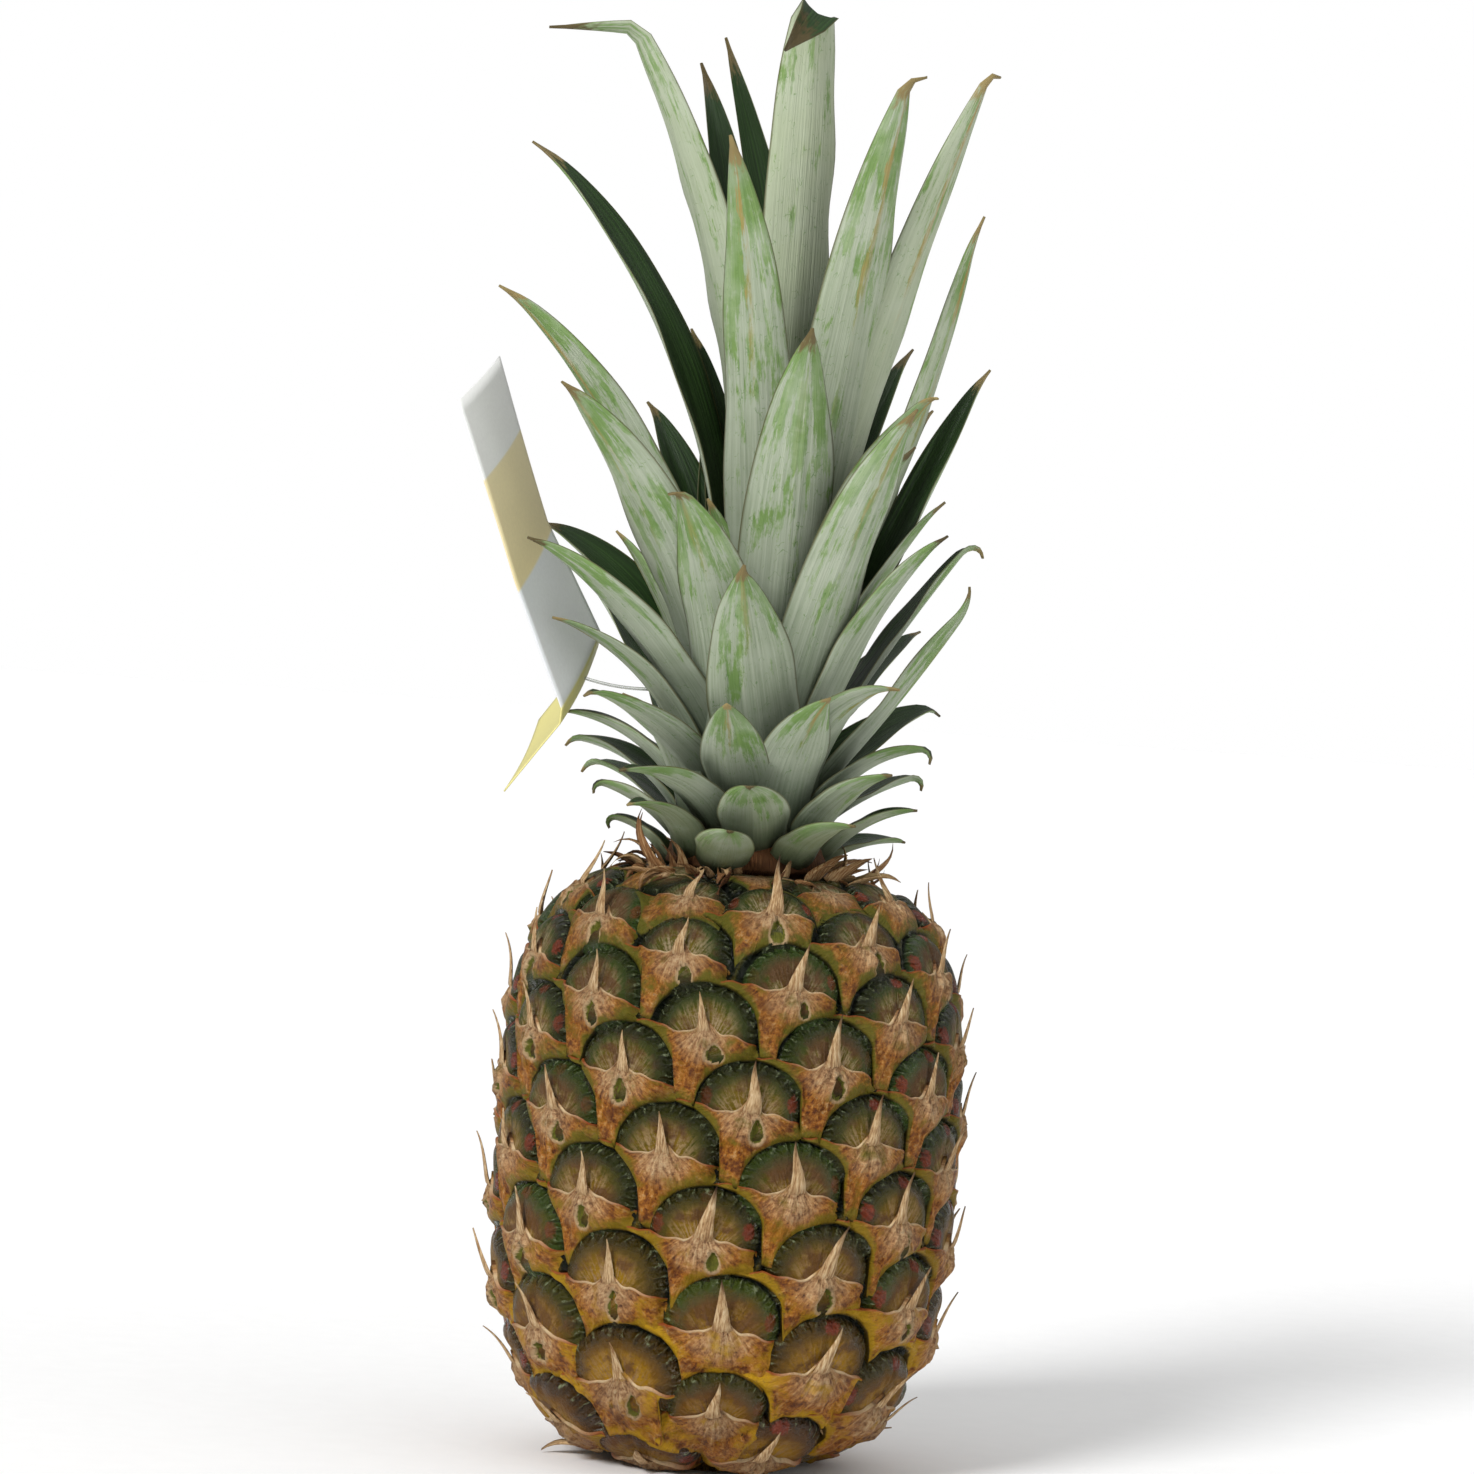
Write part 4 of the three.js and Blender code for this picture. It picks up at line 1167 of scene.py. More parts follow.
@dataclass
class Crown:
    """Crown of leaves on a short stem, in a golden-angle spiral numbered from the lowest leaf."""

    leaves: int = 74
    outer: int = 34
    first_turn: float = -16.0
    foot: float = 158.0
    start: float = 1.5
    rise: float = 50.5
    base: float = 21.0
    inner: float = 3.0
    roots: float = 5.0
    tip_half: float = 0.35
    steps: int = 48
    across: int = 12
    short: float = 60.0
    root_thick: float = 1.7
    tip_thick: float = 0.7
    keel: float = 0.035
    wave: float = 0.03
    rib_depth: float = 0.09
    ribs: int = 24
    seed: int = 23
    # How full a leaf stays towards its tip: by its length, and for single leaves by their numbers.
    fullness: tuple = ((40, 1.9), (80, 2.5), (130, 3.1))
    own_fullness: tuple = ((71, 6.0), (65, 2.2))
    # The stem's outline: radius and height over its seat, which is sunk in the fruit.
    stem: tuple = (
        (0.01, 0), (16.4, 0), (16.6, 2.4), (21.5, 3.6), (17.5, 22), (10, 42), (3.5, 55), (0.01, 56),
    )
    stem_sunk: float = 3.0
    stem_columns: int = 48
    lengths: tuple = (
        (0, 26), (0.12, 34), (0.25, 46), (0.4, 72), (0.55, 95), (0.7, 132), (0.82, 166), (1, 172),
    )
    leans: tuple = ((0, 62), (0.15, 48), (0.3, 36), (0.45, 24), (0.6, 15), (0.8, 8), (1, 3))
    tip_leans: tuple = ((0, 96), (0.15, 76), (0.3, 58), (0.45, 44), (0.6, 38), (0.8, 24), (1, 8))
    widths: tuple = ((0, 13), (0.2, 16), (0.5, 19), (0.8, 20), (1, 14))

    def leaf(self, n: int) -> Leaf:
        """Everything that makes leaf n what it is.

        Args:
            n: Its number.

        Returns:
            The leaf.
        """
        share = n / (self.leaves - 1)
        rules = (self.lengths, self.leans, self.tip_leans, ((0, 0),), ((0, 0),), self.widths)
        ruled = [float(np.interp(share, *zip(*rule))) for rule in rules]
        ruled[0] = HIDDEN_LEAVES.get(n, ruled[0])
        own = list(next((row[1:] for row in OWN_LEAVES if row[0] == n), ruled))
        if n in FOLDS:
            own[0] /= FOLDS[n][0]
        return Leaf(n, *own, share, self.first_turn + GOLDEN_ANGLE * n)

    @staticmethod
    def directions(leaf: Leaf, t: Array) -> tuple[Array, Array, Array]:
        """Directions at each t along a leaf: ahead, across to its right edge, and out of its outer face.

        Args:
            leaf: The leaf.
            t: Shares of its length.

        Returns:
            Three arrays with a row for each t.
        """
        begin, lean_more, sway_more = TIP_CURLS.get(leaf.number, (0.9, 12, 0))
        curl = np.clip((t - begin) / (1 - begin), 0, 1) ** 1.3
        if leaf.number in FOLDS:
            begin, lean_more, sway_more = FOLDS[leaf.number]
            curl = smooth(begin, begin + 0.035, t)
        lean = np.radians(mix(leaf.lean, leaf.tip_lean, t) + lean_more * curl)[:, None]
        sway = np.radians(mix(leaf.sway, leaf.tip_sway, t) + sway_more * curl)[:, None]
        turn = math.radians(leaf.turn)
        out = np.array([[math.sin(turn), -math.cos(turn), 0]])
        side = np.array([[math.cos(turn), math.sin(turn), 0]])
        up = np.array([[0, 0, 1.0]])
        rise = out * np.sin(lean) + up * np.cos(lean)
        ahead = rise * np.cos(sway) + side * np.sin(sway)
        across = side * np.cos(sway) - rise * np.sin(sway)
        outer = out * np.cos(lean) - up * np.sin(lean)
        twist = np.radians(TWISTS.get(leaf.number, 0) * np.sqrt(t))[:, None]
        right = across * np.cos(twist) + outer * np.sin(twist)
        return ahead, right, outer * np.cos(twist) - across * np.sin(twist)

    def _add(self, piece: Piece, n: int, draws: Array) -> None:
        """Adds one leaf as a closed shell.

        Args:
            piece: The mesh under construction.
            n: Number of the leaf.
            draws: Four random numbers.
        """
        leaf = self.leaf(n)
        steps = self.steps if leaf.length > self.short else self.steps // 2
        t = np.linspace(0, 1, steps + 1)
        turn = math.radians(leaf.turn)
        reach = self.base * (1 - leaf.share) ** 0.75 + self.inner
        z = self.foot + self.start + self.rise * leaf.share**0.9
        ahead, across, outer = self.directions(leaf, t)
        steps_ahead = self.directions(leaf, (t[:-1] + t[1:]) / 2)[0] * leaf.length / steps
        root = np.array([[reach * math.sin(turn), -reach * math.cos(turn), z]])
        line = np.concatenate([root, root + np.cumsum(steps_ahead, axis=0)])
        line[0] -= ahead[0] * self.roots
        fullness = float(np.interp(leaf.length, *zip(*self.fullness)))
        fullness = dict(self.own_fullness).get(leaf.number, fullness)
        narrowing = 1 - np.clip((t - 0.3) / 0.7, 0, 1) ** fullness
        widest = np.where(t < 0.3, 0.88 + 0.12 * np.sin(TAU / 4 * t / 0.3), narrowing)
        bow = np.radians(np.interp(t, [0, 0.4, 1], [52, 30, 42 + 14 * draws[0]]))
        half = np.maximum(leaf.width / 2 * widest, self.tip_half)
        radius = (half / np.sin(bow))[:, None, None]
        u = np.linspace(-1, 1, self.across + 1)
        angle = (u[None, :] * bow[:, None])[:, :, None]
        normal = outer[:, None] * np.cos(angle) + across[:, None] * np.sin(angle)
        keel = self.keel * leaf.width * np.exp(-((u / 0.16) ** 2))[None, :] * (1 - t[:, None]) ** 0.5
        phase = t[:, None] * leaf.length / mix(9, 15, draws[1]) * 2 + draws[2] * TAU
        waves = np.sin(phase + 2 * np.sign(u)[None, :])
        wave = self.wave * leaf.width * waves * (np.abs(u) ** 3)[None, :] * np.sin(math.pi * t)[:, None]
        thick = mix(self.root_thick, self.tip_thick, t)[:, None] * (1 - 0.86 * np.abs(u)[None, :] ** 3)
        middle = line[:, None] - outer[:, None] * radius
        ribs = self.rib_depth * np.sin(u * self.ribs)[None, :] * (1 - t[:, None] ** 3)
        lift = (keel + wave)[:, :, None]
        front = middle + normal * (radius + lift + ((thick + ribs) / 2)[:, :, None])
        back = middle + normal * (radius + lift - ((thick - ribs) / 2)[:, :, None])
        sides, along = np.broadcast_arrays(u[None, :], t[:, None] * leaf.length)
        place = tuple(np.stack([sides, along, np.full(along.shape, face)], axis=-1) for face in (1.0, -1.0))
        kind = np.full(front.shape, (leaf.share, draws[3], 0.0))
        kind[..., 2] = t[:, None]
        piece.shell(front, back, place=place, kind=(kind, kind))

    def build(self, material: bpy.types.Material, dry: bpy.types.Material) -> None:
        """Makes the leaves in two pieces and the stem that they grow from.

        Args:
            material: Finish of the leaves.
            dry: Finish of the stem, which old leaf bases wrap.
        """
        chance = np.random.default_rng(self.seed)
        draws = chance.random((self.leaves, 4))
        for name, first, last in (("outer_leaves", 0, self.outer), ("inner_leaves", self.outer, self.leaves)):
            piece = Piece()
            for n in range(first, last):
                self._add(piece, n, draws[n])
            piece.made(name, material, Slot.LEAF, "crown")
        stem = Piece()
        angle = np.linspace(0, TAU, self.stem_columns, endpoint=False)[None, :]
        radius, height = np.array(self.stem).T[:, :, None]
        seat = self.foot - self.stem_sunk
        sides = (radius * np.cos(angle), radius * np.sin(angle), seat + height)
        rings = np.stack(np.broadcast_arrays(*sides), axis=-1)
        place = np.stack(np.broadcast_arrays(15 * np.sin(angle * 7), height, 0.2), axis=-1)
        stem.grid(rings, closed=True, place=place, kind=np.full(rings.shape, (0.0, 0.1, 0.0)))
        stem.made("stem", dry, Slot.LEAF, "crown")


@dataclass
class Tag:
    """Folded paper tag and the clear plastic pin that holds it."""

    edges: tuple = (
        ((-64.3, -26, 174.9), (-57.6, 9, 192.9)),
        ((-50.8, -26, 193.4), (-43.6, 8, 213.6)),
        ((-50.6, -26, 197.6), (-43.2, 8, 217.4)),
        ((-65.2, -27, 229.6), (-59, 9, 246)),
        ((-83, -27, 275.7), (-74.8, 10, 288.7)),
    )
    thick: float = 0.4
    bow: float = 0.9
    twist: float = 0.5
    steps: int = 14
    across: int = 20
    pin_radius: float = 0.45
    pin_sides: int = 12
    strand_parts: int = 16
    sag: float = 1.2
    bar: float = 5.0
    reach: float = 2.5
    through_tag: tuple = (-47, -8, 206)
    through_leaf: tuple = (-28, -9, 204)

    def build(self, paper: bpy.types.Material, plastic: bpy.types.Material) -> None:
        """Makes the tag and its pin.

        Args:
            paper: Finish of the tag.
            plastic: Finish of the pin.
        """
        near, far = np.array(self.edges, float).transpose(1, 0, 2)
        walk = np.concatenate([np.linspace(i, i + 1, self.steps, endpoint=False) for i in range(4)] + [[4.0]])
        rows = [np.stack([np.interp(walk, range(5), e[:, i]) for i in range(3)], -1) for e in (near, far)]
        length = np.concatenate([[0], np.cumsum(np.linalg.norm(np.diff(rows[0], axis=0), axis=1))])
        ahead = np.gradient(rows[0] + rows[1], axis=0)
        flat = np.cross(rows[1] - rows[0], ahead)
        flat /= np.linalg.norm(flat, axis=1)[:, None]
        v = np.linspace(0, 1, self.across + 1)
        bow = (self.bow * np.sin(math.pi * v))[None, :]
        bow = bow + self.twist * np.sin(length / 17)[:, None] * (v - 0.5)[None, :]
        base = rows[0][:, None] + (rows[1] - rows[0])[:, None] * v[None, :, None]
        base = base + flat[:, None] * bow[:, :, None]
        front = base + flat[:, None] * self.thick / 2
        back = base - flat[:, None] * self.thick / 2
        wide = v[None, :] * np.linalg.norm(rows[1] - rows[0], axis=1)[:, None]
        wide, along = np.broadcast_arrays(wide, length[:, None])
        place = tuple(np.stack([wide, along, np.full(wide.shape, face)], axis=-1) for face in (1.0, -1.0))
        piece = Piece()
        piece.shell(front, back, flip=True, place=place)
        piece.made("tag", paper, Slot.PAPER, "hang_tag")
        self._pin(plastic)

    def _pin(self, plastic: bpy.types.Material) -> None:
        """Makes the pin: tubes along their paths by Geometry Nodes.

        Args:
            plastic: Its finish.
        """
        start, end = np.array(self.through_tag, float), np.array(self.through_leaf, float)
        ahead = (end - start) / np.linalg.norm(end - start)
        start, end = start - ahead * self.reach, end + ahead * self.reach
        up = np.array([0, 0, self.bar / 2])
        t = Recipe("tube along paths", Paths="Geometry", Radius="Float", Sides="Int", Finish="Material")
        curve = t.add("MeshToCurve", {"Mesh": t.given["Paths"]})
        ring = t.add("CurvePrimitiveCircle", {"Resolution": t.given["Sides"], "Radius": t.given["Radius"]})
        t.end(t.add("CurveToMesh", {"Curve": curve, "Profile Curve": ring, "Fill Caps": True}))
        share = np.linspace(0, 1, self.strand_parts + 1)[:, None]
        strand = mix(start, end, share) - np.array([[0, 0, self.sag]]) * np.sin(math.pi * share)
        points = np.concatenate([strand, [start - up, start + up, end - up, end + up]]) * MM
        first = self.strand_parts + 1
        edges = [(i, i + 1) for i in range(self.strand_parts)] + [(first, first + 1), (first + 2, first + 3)]
        mesh = bpy.data.meshes.new("pin_paths")
        mesh.from_pydata(points.tolist(), edges, [])
        mesh = t.result("pin", mesh, Radius=self.pin_radius * MM, Sides=self.pin_sides, Finish=plastic)
        finished(mesh, "pin", plastic, Slot.PLASTIC, "tag_pin")


@dataclass
class DryScales:
    """Long dry scales round the crown's foot and the torn fibres round the base."""

    rind: Rind
    seed: int = 31
    steps: int = 8
    columns: int = 5
    thick: float = 0.3
    scales: int = 64
    fibres: int = 90
    # Blades to choose from: length, half width, curl, fold and a shift of the waves.
    scale_shapes: tuple = (
        (17, 3.2, 0.9, 0.6, 0), (21, 2.6, 2.1, 0.7, 1.3), (14, 3.6, 0.5, 0.5, 2), (19, 2.2, -1.2, 0.7, 3),
        (16, 2.8, 3.0, 0.8, 4.2),
    )
    fibre_shapes: tuple = ((9, 1.2, 0.5, 0.2, 0), (12, 0.7, -0.6, 0.2, 1.1), (7, 1.6, 0.9, 0.3, 2))
    # The one straw flake that lies on the floor, at the left of the foot: place, tilt, turn and size.
    flake: tuple = ((-29.0, -8.0, 1.2), 1.27, -76, 2.1)

    def _blade(self, length: float, half: float, curl: float, fold: float, seed: float) -> bpy.types.Object:
        """Makes one curved blade that stands on the origin with its outer face towards -Y.

        Args:
            length: Its length.
            half: Half its width at the foot.
            curl: How far its tip is turned, in radians.
            fold: How deep it is folded along its middle, for each millimetre of its width.
            seed: Shift of its waves.

        Returns:
            The template.
        """
        t = np.linspace(0, 1, self.steps + 1)
        bend = curl * t**1.6
        step = length / self.steps
        mid = (bend[:-1] + bend[1:]) / 2
        z = np.concatenate([[0], np.cumsum(np.cos(mid))]) * step
        y = -np.concatenate([[0], np.cumsum(np.sin(mid))]) * step
        wide = half * (1 - t**1.7) * (1 + 0.12 * np.sin(t * 9 + seed)) + 0.05
        across = np.linspace(-1, 1, self.columns)
        x = wide[:, None] * across[None, :] + (1.5 * np.sin(t * 3 + seed))[:, None]
        depth = fold * (np.abs(across)[None, :] ** 1.5) * wide[:, None]
        front = np.stack([x, y[:, None] + depth, np.repeat(z[:, None], self.columns, 1)], -1)
        place = np.stack(np.broadcast_arrays(x, t[:, None] * length, t[:, None]), axis=-1)
        piece = Piece()
        piece.shell(front, front + np.array([0, self.thick, 0]), place=(place, place))
        return linked("scale_template", piece.mesh("scale_template"))

    def build(self, material: bpy.types.Material) -> None:
        """Makes the neck scales and the base fibres.

        Args:
            material: Their finish.
        """
        draws = np.random.default_rng(self.seed)
        barrel = self.rind.spiral.barrel
        points, turns, kinds = [], [], []
        for i in range(self.scales):
            share = i / self.scales
            turn = GOLDEN_ANGLE * i + draws.normal(0, 14)
            s = barrel.neck_arc - 2 - 10.5 * share - draws.random() * 1.5
            points.append(barrel.over(turn, s, 0.2))
            tilt = mix(0.3, 1.3, share) + draws.normal(0, 0.25)
            turns.append((tilt, draws.normal(0, 0.45), math.radians(turn)))
            kinds.append((0.95, draws.random(), 0.0))
        sizes = draws.uniform(0.35, 0.95, self.scales)
        shapes = [self._blade(*row) for row in self.scale_shapes]
        scattered("neck_scales", points, turns, sizes, kinds, shapes, material, Slot.RIND, "fruit")
        points, turns, kinds = [], [], []
        for i in range(self.fibres):
            turn = GOLDEN_ANGLE * i
            s = barrel.foot_arc + draws.uniform(6, 26)
            points.append(barrel.over(turn, s, 0.6))
            tilt = -barrel.lean_at(s) - draws.uniform(0.0, 0.7)
            turns.append((min(tilt + draws.normal(0, 0.2), 1.75), draws.normal(0, 0.6), math.radians(turn)))
            kinds.append((0.02, draws.random(), 0.0))
        place, tilt, turn, size = self.flake
        points.append(np.array(place))
        turns.append((tilt, 0.0, math.radians(turn)))
        kinds.append((0.02, 1.0, 0.0))
        sizes = np.append(draws.uniform(0.5, 1.1, self.fibres), size)
        shapes = [self._blade(*row) for row in self.fibre_shapes]
        scattered("base_fibres", points, turns, sizes, kinds, shapes, material, Slot.RIND, "fruit")


@dataclass(frozen=True)
class Finish:
    """A finish, as nodes that end in one shader.

    The places that a mesh carries are in millimetres, so the scale of a noise on them is one over the size of
    what it draws, such as 1.3 for grit of about 0.8 mm. Object coordinates are in metres.
    """

    name: ClassVar[str]

    def shader(self, t: Tree) -> Socket:
        """Adds the nodes.

        Args:
            t: The material's tree.

        Returns:
            The shader's output.
        """
        raise NotImplementedError

    def make(self) -> bpy.types.Material:
        """Makes the material.

        Returns:
            The material, with nodes of its own.
        """
        made = bpy.data.materials.new(self.name)
        made.use_nodes = True
        t = Tree(made.node_tree)
        t.add("OutputMaterial", {"Surface": self.shader(t)})
        return made


@dataclass(frozen=True)
class WaxyRind(Finish):
    """Living pineapple rind: waxy skin over firm flesh, a soft gloss with grey bloom in the hollows, and a
    painted glint on the crests of the rims' ridges.

    Its patterns are set out from the middle of each fruitlet, and share runs from the lowest one to the top.
    """

    name: ClassVar[str] = "waxy pineapple rind"
    rind: Rind
    rays: float = 7.0
    ridges: float = 24.0
    # Red marks round an eye: x and y of the middle, half width, half height, and a shift of their chance.
    marks: tuple = ((-10.2, 4.4, 1.6, 2.5, 0.25), (10.2, 3.6, 1.5, 2.3, 0.4), (0.8, 11.2, 2.0, 1.6, 0.1))

    def shader(self, t: Tree) -> Socket:
        """Adds the nodes from the fresh skin outwards, and the painted shade in the groove round the eye
        last.

        Args:
            t: The material's tree.

        Returns:
            The shader's output.
        """
        place, kind = (t.add("Attribute", out="Vector", attribute_name=name) for name in ("place", "kind"))
        x, y = (t.add("SeparateXYZ", [place], out=i) for i in range(2))
        share, chance = (t.add("SeparateXYZ", [kind], out=i) for i in range(2))
        across = t.add("Math", [x, self.rind.eye_half_width], operation="DIVIDE")
        up = t.add("Math", [y, self.rind.eye_middle], operation="SUBTRACT")
        up = t.add("Math", [up, self.rind.eye_half_height], operation="DIVIDE")
        e = t.add("CombineXYZ", [across, up, 0.0])
        e = t.add("VectorMath", [e], out="Value", operation="LENGTH")
        angle = t.add("Math", [across, up], operation="ARCTAN2")
        own = t.add("Math", [chance, OWN_PATTERN], operation="MULTIPLY")
        at = t.add("CombineXYZ", [x, y, own])
        fan = t.add("Math", [y, 5.0], operation="ADD")
        fan = t.add("Math", [x, fan], operation="ARCTAN2")
        fan = t.add("Math", [fan, self.rays], operation="MULTIPLY")
        rays = t.add("CombineXYZ", [fan, e, own])
        streaks, grit, coarse = (
            t.add("TexNoise", {"Vector": by, "Scale": scale, "Detail": detail, "Roughness": rough})
            for by, scale, detail, rough in ((rays, 2.6, 5.0, 0.62), (at, 1.3, 5.0, 0.7), (at, 0.2, 4.0, 0.6))
        )
        fresh, warm, pale, deep, ground = (t.add("ValToRGB", [share], stops=stops) for stops in (
            ((0.0, "5c3610"), (0.14, "6e4c10"), (0.26, "5a4610"), (0.42, "4a4612"), (0.7, "384414"),
             (1.0, "2e3c18")),
            ((0.0, "9c7412"), (0.16, "b08412"), (0.36, "8c6c1c"), (0.6, "78641e"), (1.0, "5e5a24")),
            ((0.0, "94724a"), (0.3, "ac8c62"), (1.0, "b0a284")),
            ((0.0, "35200c"), (0.18, "3e300c"), (0.36, "2a2c0e"), (1.0, "18200e")),
            ((0.0, "6b4f18"), (0.4, "6a5a1e"), (1.0, "454420")),
        ))
        near_hub, heart, ring, past, groove, outside = (t.add("MapRange", [e, *ends]) for ends in (
            (0.85, 0.2, 0.0, 1.0), (0.72, 0.25, 0.0, 1.2), (0.74, 0.86, 0.0, 1.0),
            (1.06, 1.2, 0.0, 1.0), (0.94, 1.0, 0.0, 0.95), (1.08, 1.2, 1.0, 0.0),
        ))
        spread = t.add("Math", [chance, 7.3], operation="MULTIPLY")
        spread = t.add("Math", [spread], operation="FRACT")
        # Each of these is a pattern that another one pushes up or down before it is cut to a share.
        warmth, bloom, stain, rim = (
            t.add("MapRange", [t.add("Math", [one, amount, other], operation="MULTIPLY_ADD"), *ends])
            for one, amount, other, ends in (
                (near_hub, 0.5, coarse, (0.6, 0.95, 0.0, 1.0)), (grit, 0.6, streaks, (0.72, 0.92, 0.0, 0.85)),
                (spread, 0.16, coarse, (0.52, 0.66, 0.0, 0.8)), (coarse, 0.5, e, (0.8, 1.08, 0.0, 0.94)),
            )
        )
        bloom = t.add("Math", [bloom, heart], operation="MULTIPLY")
        lively = t.add("MapRange", [spread, 0.5, 1.0, 0.0, 0.6])
        wave = t.add("Math", [angle, self.ridges], operation="MULTIPLY")
        wave = t.add("Math", [coarse, 14.0, wave], operation="MULTIPLY_ADD")
        wave = t.add("Math", [wave], operation="SINE")
        ridges = t.add("Math", [wave, ring], operation="MULTIPLY")
        # Painted glint: pale dashes on the crests of the rim's ridges stand in for highlights.
        painted_glint = t.add("MapRange", [ridges, 0.7, 1.0, 0.0, 0.8])
        sparse = t.add("MapRange", [grit, 0.48, 0.62, 0.1, 1.0])
        painted_glint = t.add("Math", [painted_glint, sparse], operation="MULTIPLY")
        # Painted shade: the groove round the eye is darkened nearly to black, as if in shadow.
        dark = t.add("Math", [groove, outside], operation="MULTIPLY")
        umber, deep, light, red = (
            t.add("Mix", {0: by, 6: one, 7: other}, 2, data_type="RGBA") for by, one, other in (
                (grit, "3a211a", "6f4a30"), (lively, deep, "38561a"),
                (near_hub, "8c9672", warm), (streaks, "3a120c", "9c4228"),
            )
        )
        marks = self._marks(t, at, grit, chance)
        skin = fresh
        for amount, colour in (
            (warmth, warm), (bloom, pale), (stain, umber), (rim, deep), (painted_glint, light),
            (marks, red), (past, ground), (dark, "0c1208"),
        ):
            skin = t.add("Mix", {0: amount, 6: skin, 7: colour}, 2, data_type="RGBA")
        grain = t.add("Math", [streaks, grit], operation="ADD")
        ridges = t.add("Math", [ridges, 0.45], operation="MULTIPLY")
        height = t.add("Math", [grain, 0.5, ridges], operation="MULTIPLY_ADD")
        bump = t.add("Bump", {"Height": height, "Distance": 0.0022, "Strength": 1.0})
        gloss = t.add("MapRange", [rim, 0.0, 0.9, 0.5, 0.15])
        shine = t.add("MapRange", [rim, 0.0, 0.9, 0.14, 0.42])
        return t.add("BsdfPrincipled", {
            "Base Color": skin, "Roughness": gloss, "Normal": bump, "IOR": 1.45, "Specular IOR Level": shine,
            "Subsurface Weight": 0.05, "Subsurface Radius": (0.004, 0.002, 0.001)})

    def _marks(self, t: Tree, at: Socket, grit: Socket, chance: Socket) -> Socket:
        """Adds the red marks, of which each eye has some.

        Args:
            t: The material's tree.
            at: Place in the eye.
            grit: Fine pattern that makes their edges uneven.
            chance: The fruitlet's own number from 0 to 1.

        Returns:
            How much of the marks shows.
        """
        marks = None
        for x, y, wide, tall, shift in self.marks:
            far = t.add("VectorMath", [at, (x, y, 0.0)], operation="SUBTRACT")
            far = t.add("VectorMath", [far, (1 / wide, 1 / tall, 0.0)], operation="MULTIPLY")
            far = t.add("VectorMath", [far], out="Value", operation="LENGTH")
            far = t.add("Math", [grit, 1.5, far], operation="MULTIPLY_ADD")
            mark = t.add("MapRange", [far, 1.45, 1.8, 0.85, 0.0])
            weight = t.add("Math", [chance, shift + 3.3], operation="MULTIPLY")
            weight = t.add("Math", [weight], operation="FRACT")
            weight = t.add("MapRange", [weight, 0.3, 0.6, 0.0, 1.0])
            mark = t.add("Math", [mark, weight], operation="MULTIPLY")
            marks = mark if marks is None else t.add("Math", [marks, mark], operation="MAXIMUM")
        return marks


